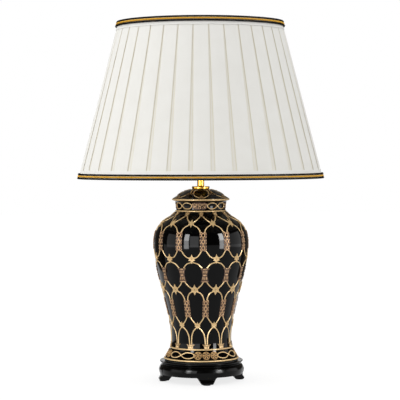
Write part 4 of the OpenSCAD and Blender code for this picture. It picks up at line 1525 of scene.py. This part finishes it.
    @staticmethod
    def map_turned(piece: Piece, radius: float, z: float) -> None:
        """Maps a turned piece by its length round the axis and its height.

        Args:
            piece: The piece.
            radius: Radius that its length is taken at.
            z: Height that the map starts at.
        """
        mesh = piece.data
        lay = mesh.uv_layers.new(name="UVMap")
        mesh.attributes.new("fold", "FLOAT", "POINT")
        for face in mesh.polygons:
            middle = math.atan2(face.center.y, face.center.x)
            for loop in face.loop_indices:
                co = mesh.vertices[mesh.loops[loop].vertex_index].co
                a = math.atan2(co.y, co.x)
                a += FULL_TURN * round((middle - a) / FULL_TURN)
                lay.data[loop].uv = (a * radius * MM, co.z - z * MM + math.hypot(co.x, co.y))

    def tape_line(self, edge_z: float, up: int, distance: float) -> Pair:
        """Radius of the tape's outer face, and its slope, at a distance from the edge.

        Args:
            edge_z: Height of the edge.
            up: 1 at the lower edge and -1 at the upper.
            distance: Distance from the edge.

        Returns:
            The radius and the slope.
        """
        near, far = self.face(edge_z + up * self.edge), self.face(edge_z + up * self.tape_h)
        slope = (far - near) / (self.tape_h - 0.3)
        return near + 0.6 + (distance - 0.3) * slope, slope

    def cord(self, name: str, edge_z: float, up: int, row: int) -> Piece:
        """Lays a ring of three-strand cord on the tape.

        Args:
            name: The piece's name.
            edge_z: Height of the edge.
            up: 1 at the lower edge and -1 at the upper.
            row: Which cord it is, from the edge.

        Returns:
            The cord.
        """
        distance = self.cord_r + row * (2 * self.cord_r + 0.05)
        radius, slope = self.tape_line(edge_z, up, distance)
        radius += (self.cord_r + 0.1) * math.hypot(1, slope)
        turns = round(FULL_TURN * radius / self.cord_lay)
        rings, sides = 6, 12  # rows of faces in a turn of the strands, and faces round the cord
        total = turns * rings
        Bench.put_down()
        bpy.ops.mesh.primitive_circle_add(vertices=sides, radius=self.cord_r * MM)
        piece = bpy.context.object
        piece.name = name

        def lobe(co: Vector) -> Vector:
            """Draws the circle in between the three strands."""
            swell = math.cos(3 * math.atan2(co.y, co.x))
            return co * (1.0 if swell > 0.5 else 0.66 if swell < -0.5 else 0.9)

        Bench.move(piece, lobe)
        Bench.edit(piece, "EDGE")
        for _ in range(total):
            Bench.extrude((0, 0, MM))
        Bench.put_down()
        mesh = piece.data
        lay = mesh.uv_layers.new(name="UVMap")
        rows = [round(v.co.z / MM) for v in mesh.vertices]
        around = [math.atan2(v.co.y, v.co.x) for v in mesh.vertices]
        for vertex, ring in zip(mesh.vertices, rows):
            across = Matrix.Rotation(FULL_TURN * ring / rings, 3, "Z") @ Vector((vertex.co.x, vertex.co.y, 0))
            a = FULL_TURN * ring / total
            r = radius * MM + across.x
            vertex.co = Vector((r * math.cos(a), r * math.sin(a), (edge_z + up * distance) * MM + across.y))
        for face in mesh.polygons:
            first = min(rows[v] for v in face.vertices)
            turn = around[face.vertices[0]]
            for loop in face.loop_indices:
                index = mesh.loops[loop].vertex_index
                a = around[index] + FULL_TURN * round((turn - around[index]) / FULL_TURN)
                run = (rows[index] if rows[index] - first < 2 else first) / rings
                lay.data[loop].uv = ((a / FULL_TURN * self.cord_lay + run * 1.5) * MM, run * self.cord_lay * MM)
        mesh.update()
        Bench.edit(piece)
        Bench.seal()
        Bench.smooth(piece, 75)
        return piece

    def make(self) -> None:
        """Makes the shade's soft pieces in place of their plain solids."""
        cover = self.cover()
        Bench.hand_over(cover, CLOTH, "shade", "shade_cover")
        for name, edge_z, up, radius in (("bottom", self.low_z, 1, self.low_r), ("top", self.top_z, -1, self.top_r)):
            tape = self.tape(f"shade_tape_{name}", edge_z, up)
            Bench.hand_over(tape, TAPE, "shade", f"binding_{name}")
            blacks = [self.cord(f"shade_cord_{name}_{row}", edge_z, up, row) for row in (0, 2)]
            black = Bench.joined(f"shade_cords_{name}_black", blacks)
            gold = self.cord(f"shade_cord_{name}_gold", edge_z, up, 1)
            Bench.hand_over(black, BLACK_CORD, "shade", f"trim_{name}_black")
            Bench.hand_over(gold, GOLD_CORD, "shade", f"trim_{name}_gold")


class HiddenWorks:
    """The solids that stay as they are, each with its slot's finish."""

    finishes = {finish.name: finish for finish in (
        GLAZE, LACQUER, BOARD, FELT, STEEL, BLACK_PLASTIC, RUBBER, POLISHED_BRASS, PLAIN_BRASS, PORCELAIN, LINER,
        BROWN_PLASTIC, CONTACT_GLASS, BULB_METAL, OPAL, CLOTH, LINING, WHITE_WIRE, TAPE, BLACK_CORD, GOLD_CORD)}

    def make(self, frame: dict) -> None:
        """Takes the plain materials off and dresses the solids.
        """
        for plain in list(bpy.data.materials):
            bpy.data.materials.remove(plain)
        for part in frame["record"]["subparts"]:
            name, slot = part["node"], part["material_slot"]
            self.finishes[slot].dress(frame["nodes"][name])


@dataclass(frozen=True)
class SoftBox:
    """A tall soft box that faces the lamp.

    Args:
        azimuth: Its turn round the lamp, in degrees, negative to the left.
        width: Its width in metres.
        distance: Its distance from the lamp's axis, in metres.
        strength: Its brightness.
        gloss_only: Whether it only shows in glossy surfaces.
        height: Its height in metres.
        low: Height of its lower edge.
    """

    azimuth: float
    width: float
    distance: float
    strength: float
    gloss_only: bool = False
    height: float = 1.2
    low: float = 0.02

    def hang(self) -> None:
        """Hangs it in its place, facing the lamp's axis."""
        a = math.radians(self.azimuth)
        at = Vector((math.sin(a) * self.distance, -math.cos(a) * self.distance, self.height / 2 + self.low))
        bpy.ops.object.light_add(type="AREA", location=at)
        lamp = bpy.context.object
        lamp.rotation_euler = (Vector((0, 0, at.z)) - at).to_track_quat("-Z", "Y").to_euler()
        lamp.data.shape = "RECTANGLE"
        lamp.data.size, lamp.data.size_y = self.width, self.height
        lamp.data.energy = self.strength * math.pi * self.width * self.height
        lamp.visible_diffuse = not self.gloss_only


@dataclass
class Studio:
    """Floor, light and camera.

    Args:
        distance: Camera's distance from the lamp's axis.
        height: Camera's height.
        aim: Height that it looks at.
        aside: How far to the right of the lamp's axis it looks.
        azimuth: Its turn round the lamp, in degrees, negative to the left.
        roll: Its roll, in degrees.
        lens: Focal length for a 36 mm frame.
        sky: Strength of the light from all round.
        floor_light: How bright the floor shows.
        floor_tone: How much of the light the floor gives back.
        wall: Colour of the dark room and the flags.
        room_r: Radius of the dark room, in metres.
        room_end: Distance behind the lamp at which the dark room ends, in metres.
        flag_at: Place of the right flag's middle, in metres.
        flag_size: Height and length of a flag, in metres.
        floor_size: Width of the floor, in metres.
        boxes: The soft boxes.
    """

    distance: float = 2700.0
    height: float = 383.0
    aim: float = 300.7
    aside: float = -1.25
    azimuth: float = -8.0
    roll: float = -0.22
    lens: float = 146.0
    sky: float = 1.07
    floor_light: float = 0.78
    floor_tone: float = 0.26
    wall: Colour = (104, 98, 90)
    room_r: float = 6.0
    room_end: float = 5.8
    flag_at: Triple = (0.55, 1.0, 0.45)
    flag_size: Pair = (0.9, 1.7)
    floor_size: float = 14.0
    boxes: tuple[SoftBox, ...] = (
        SoftBox(-80.0, 1.6, 2.4, 2.1), SoftBox(86.0, 1.8, 2.4, 1.6, True),
        SoftBox(-43.0, 0.35, 1.7, 20.0, True, 0.45), SoftBox(-43.0, 0.35, 1.7, 35.0, True, 0.7, 0.47),
        SoftBox(43.5, 0.35, 1.7, 24.0, True, 0.45), SoftBox(43.5, 0.35, 1.7, 46.0, True, 0.7, 0.47),
        SoftBox(-24.0, 0.9, 2.4, 4.6, True))

    def camera(self) -> None:
        """Places the camera where the photograph was taken from."""
        a = math.radians(self.azimuth)
        at = Vector((math.sin(a) * self.distance, -math.cos(a) * self.distance, self.height)) * MM
        bpy.ops.object.camera_add(location=at)
        camera = bpy.context.object
        aim = Vector((self.aside * math.cos(a), self.aside * math.sin(a), self.aim)) * MM
        turn = (aim - at).to_track_quat("-Z", "Y").to_matrix() @ Matrix.Rotation(math.radians(self.roll), 3, "Z")
        camera.rotation_euler = turn.to_euler()
        camera.data.lens = self.lens
        camera.data.sensor_width = 36.0
        camera.data.clip_end = 60.0
        bpy.context.scene.camera = camera

    def room(self) -> None:
        """Puts the dark room round the lamp and two dark flags beside it, which only glossy surfaces show."""
        Bench.put_down()
        bpy.ops.mesh.primitive_uv_sphere_add(segments=48, ring_count=24, radius=self.room_r, location=(0, 0, 0))
        room = bpy.context.object
        room.name = "dark_room"
        Bench.edit(room)
        bpy.ops.mesh.bisect(plane_co=(0, self.room_end, 0), plane_no=(0, 1, 0), clear_outer=True)
        Bench.edit(room)
        bpy.ops.mesh.bisect(plane_co=(0, 0, -0.02), plane_no=(0, 0, 1), clear_inner=True)
        Bench.put_down()
        flags = []
        x, y, z = self.flag_at
        for side in (-x, x):
            bpy.ops.mesh.primitive_plane_add(size=1.0, rotation=(0, math.pi / 2, 0), location=(side, y, z))
            flag = bpy.context.object
            flag.name = "dark_flag"
            flag.scale = (*self.flag_size, 1.0)
            flags.append(Bench.settle(flag))
        paint = Paint("dark_wall", Base_Color=linear(self.wall), Roughness=0.9, Specular_IOR_Level=0.0)
        for piece in (room, *flags):
            piece.data.materials.append(paint.material)
            piece.visible_camera = piece.visible_diffuse = piece.visible_transmission = piece.visible_shadow = False

    def world(self) -> None:
        """Lights evenly from all round and shows white behind the lamp."""
        world = bpy.context.scene.world or bpy.data.worlds.new("studio")
        bpy.context.scene.world = world
        world.use_nodes = True
        world.node_tree.nodes.clear()
        recipe = Recipe(world.node_tree)
        light, white = (recipe.node("Background", Color=WHITE, Strength=s).outputs[0] for s in (self.sky, 1.0))
        mix = recipe.node("MixShader")
        for value, socket in zip((recipe.seen(), light, white), mix.inputs):
            recipe.join(value, socket)
        recipe.node("OutputWorld", Surface=mix.outputs[0])

    def floor(self) -> None:
        """Lays a pale floor that shows white and keeps the lamp's shadow."""
        Bench.put_down()
        bpy.ops.mesh.primitive_plane_add(size=self.floor_size, location=(0, 0, 0))
        floor = bpy.context.object
        floor.name = "floor"
        paint = Paint("pale_floor", Base_Color=(*[self.floor_tone] * 3, 1.0), Roughness=0.9, Specular_IOR_Level=0.0,
                      Emission_Color=WHITE)
        paint.put(Emission_Strength=paint.math("MULTIPLY", paint.seen(), self.floor_light))
        floor.data.materials.append(paint.material)

    def make(self) -> None:
        """Sets up the whole studio."""
        self.camera()
        for box in self.boxes:
            box.hang()
        self.world()
        self.room()
        self.floor()
        bpy.context.scene.view_settings.view_transform = "Standard"
        LOG.info("studio ready")


def main() -> None:
    """Builds the lamp's sub-assemblies in order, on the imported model."""
    logging.basicConfig(level=logging.INFO, format="%(name)s: %(message)s")
    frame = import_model()
    HiddenWorks().make(frame)
    Studio().make()
    jar = Jar()
    jar.make()
    Gilding(jar).make()
    BrassFittings().make()
    Shade().make()


if __name__ == "__main__":
    main()
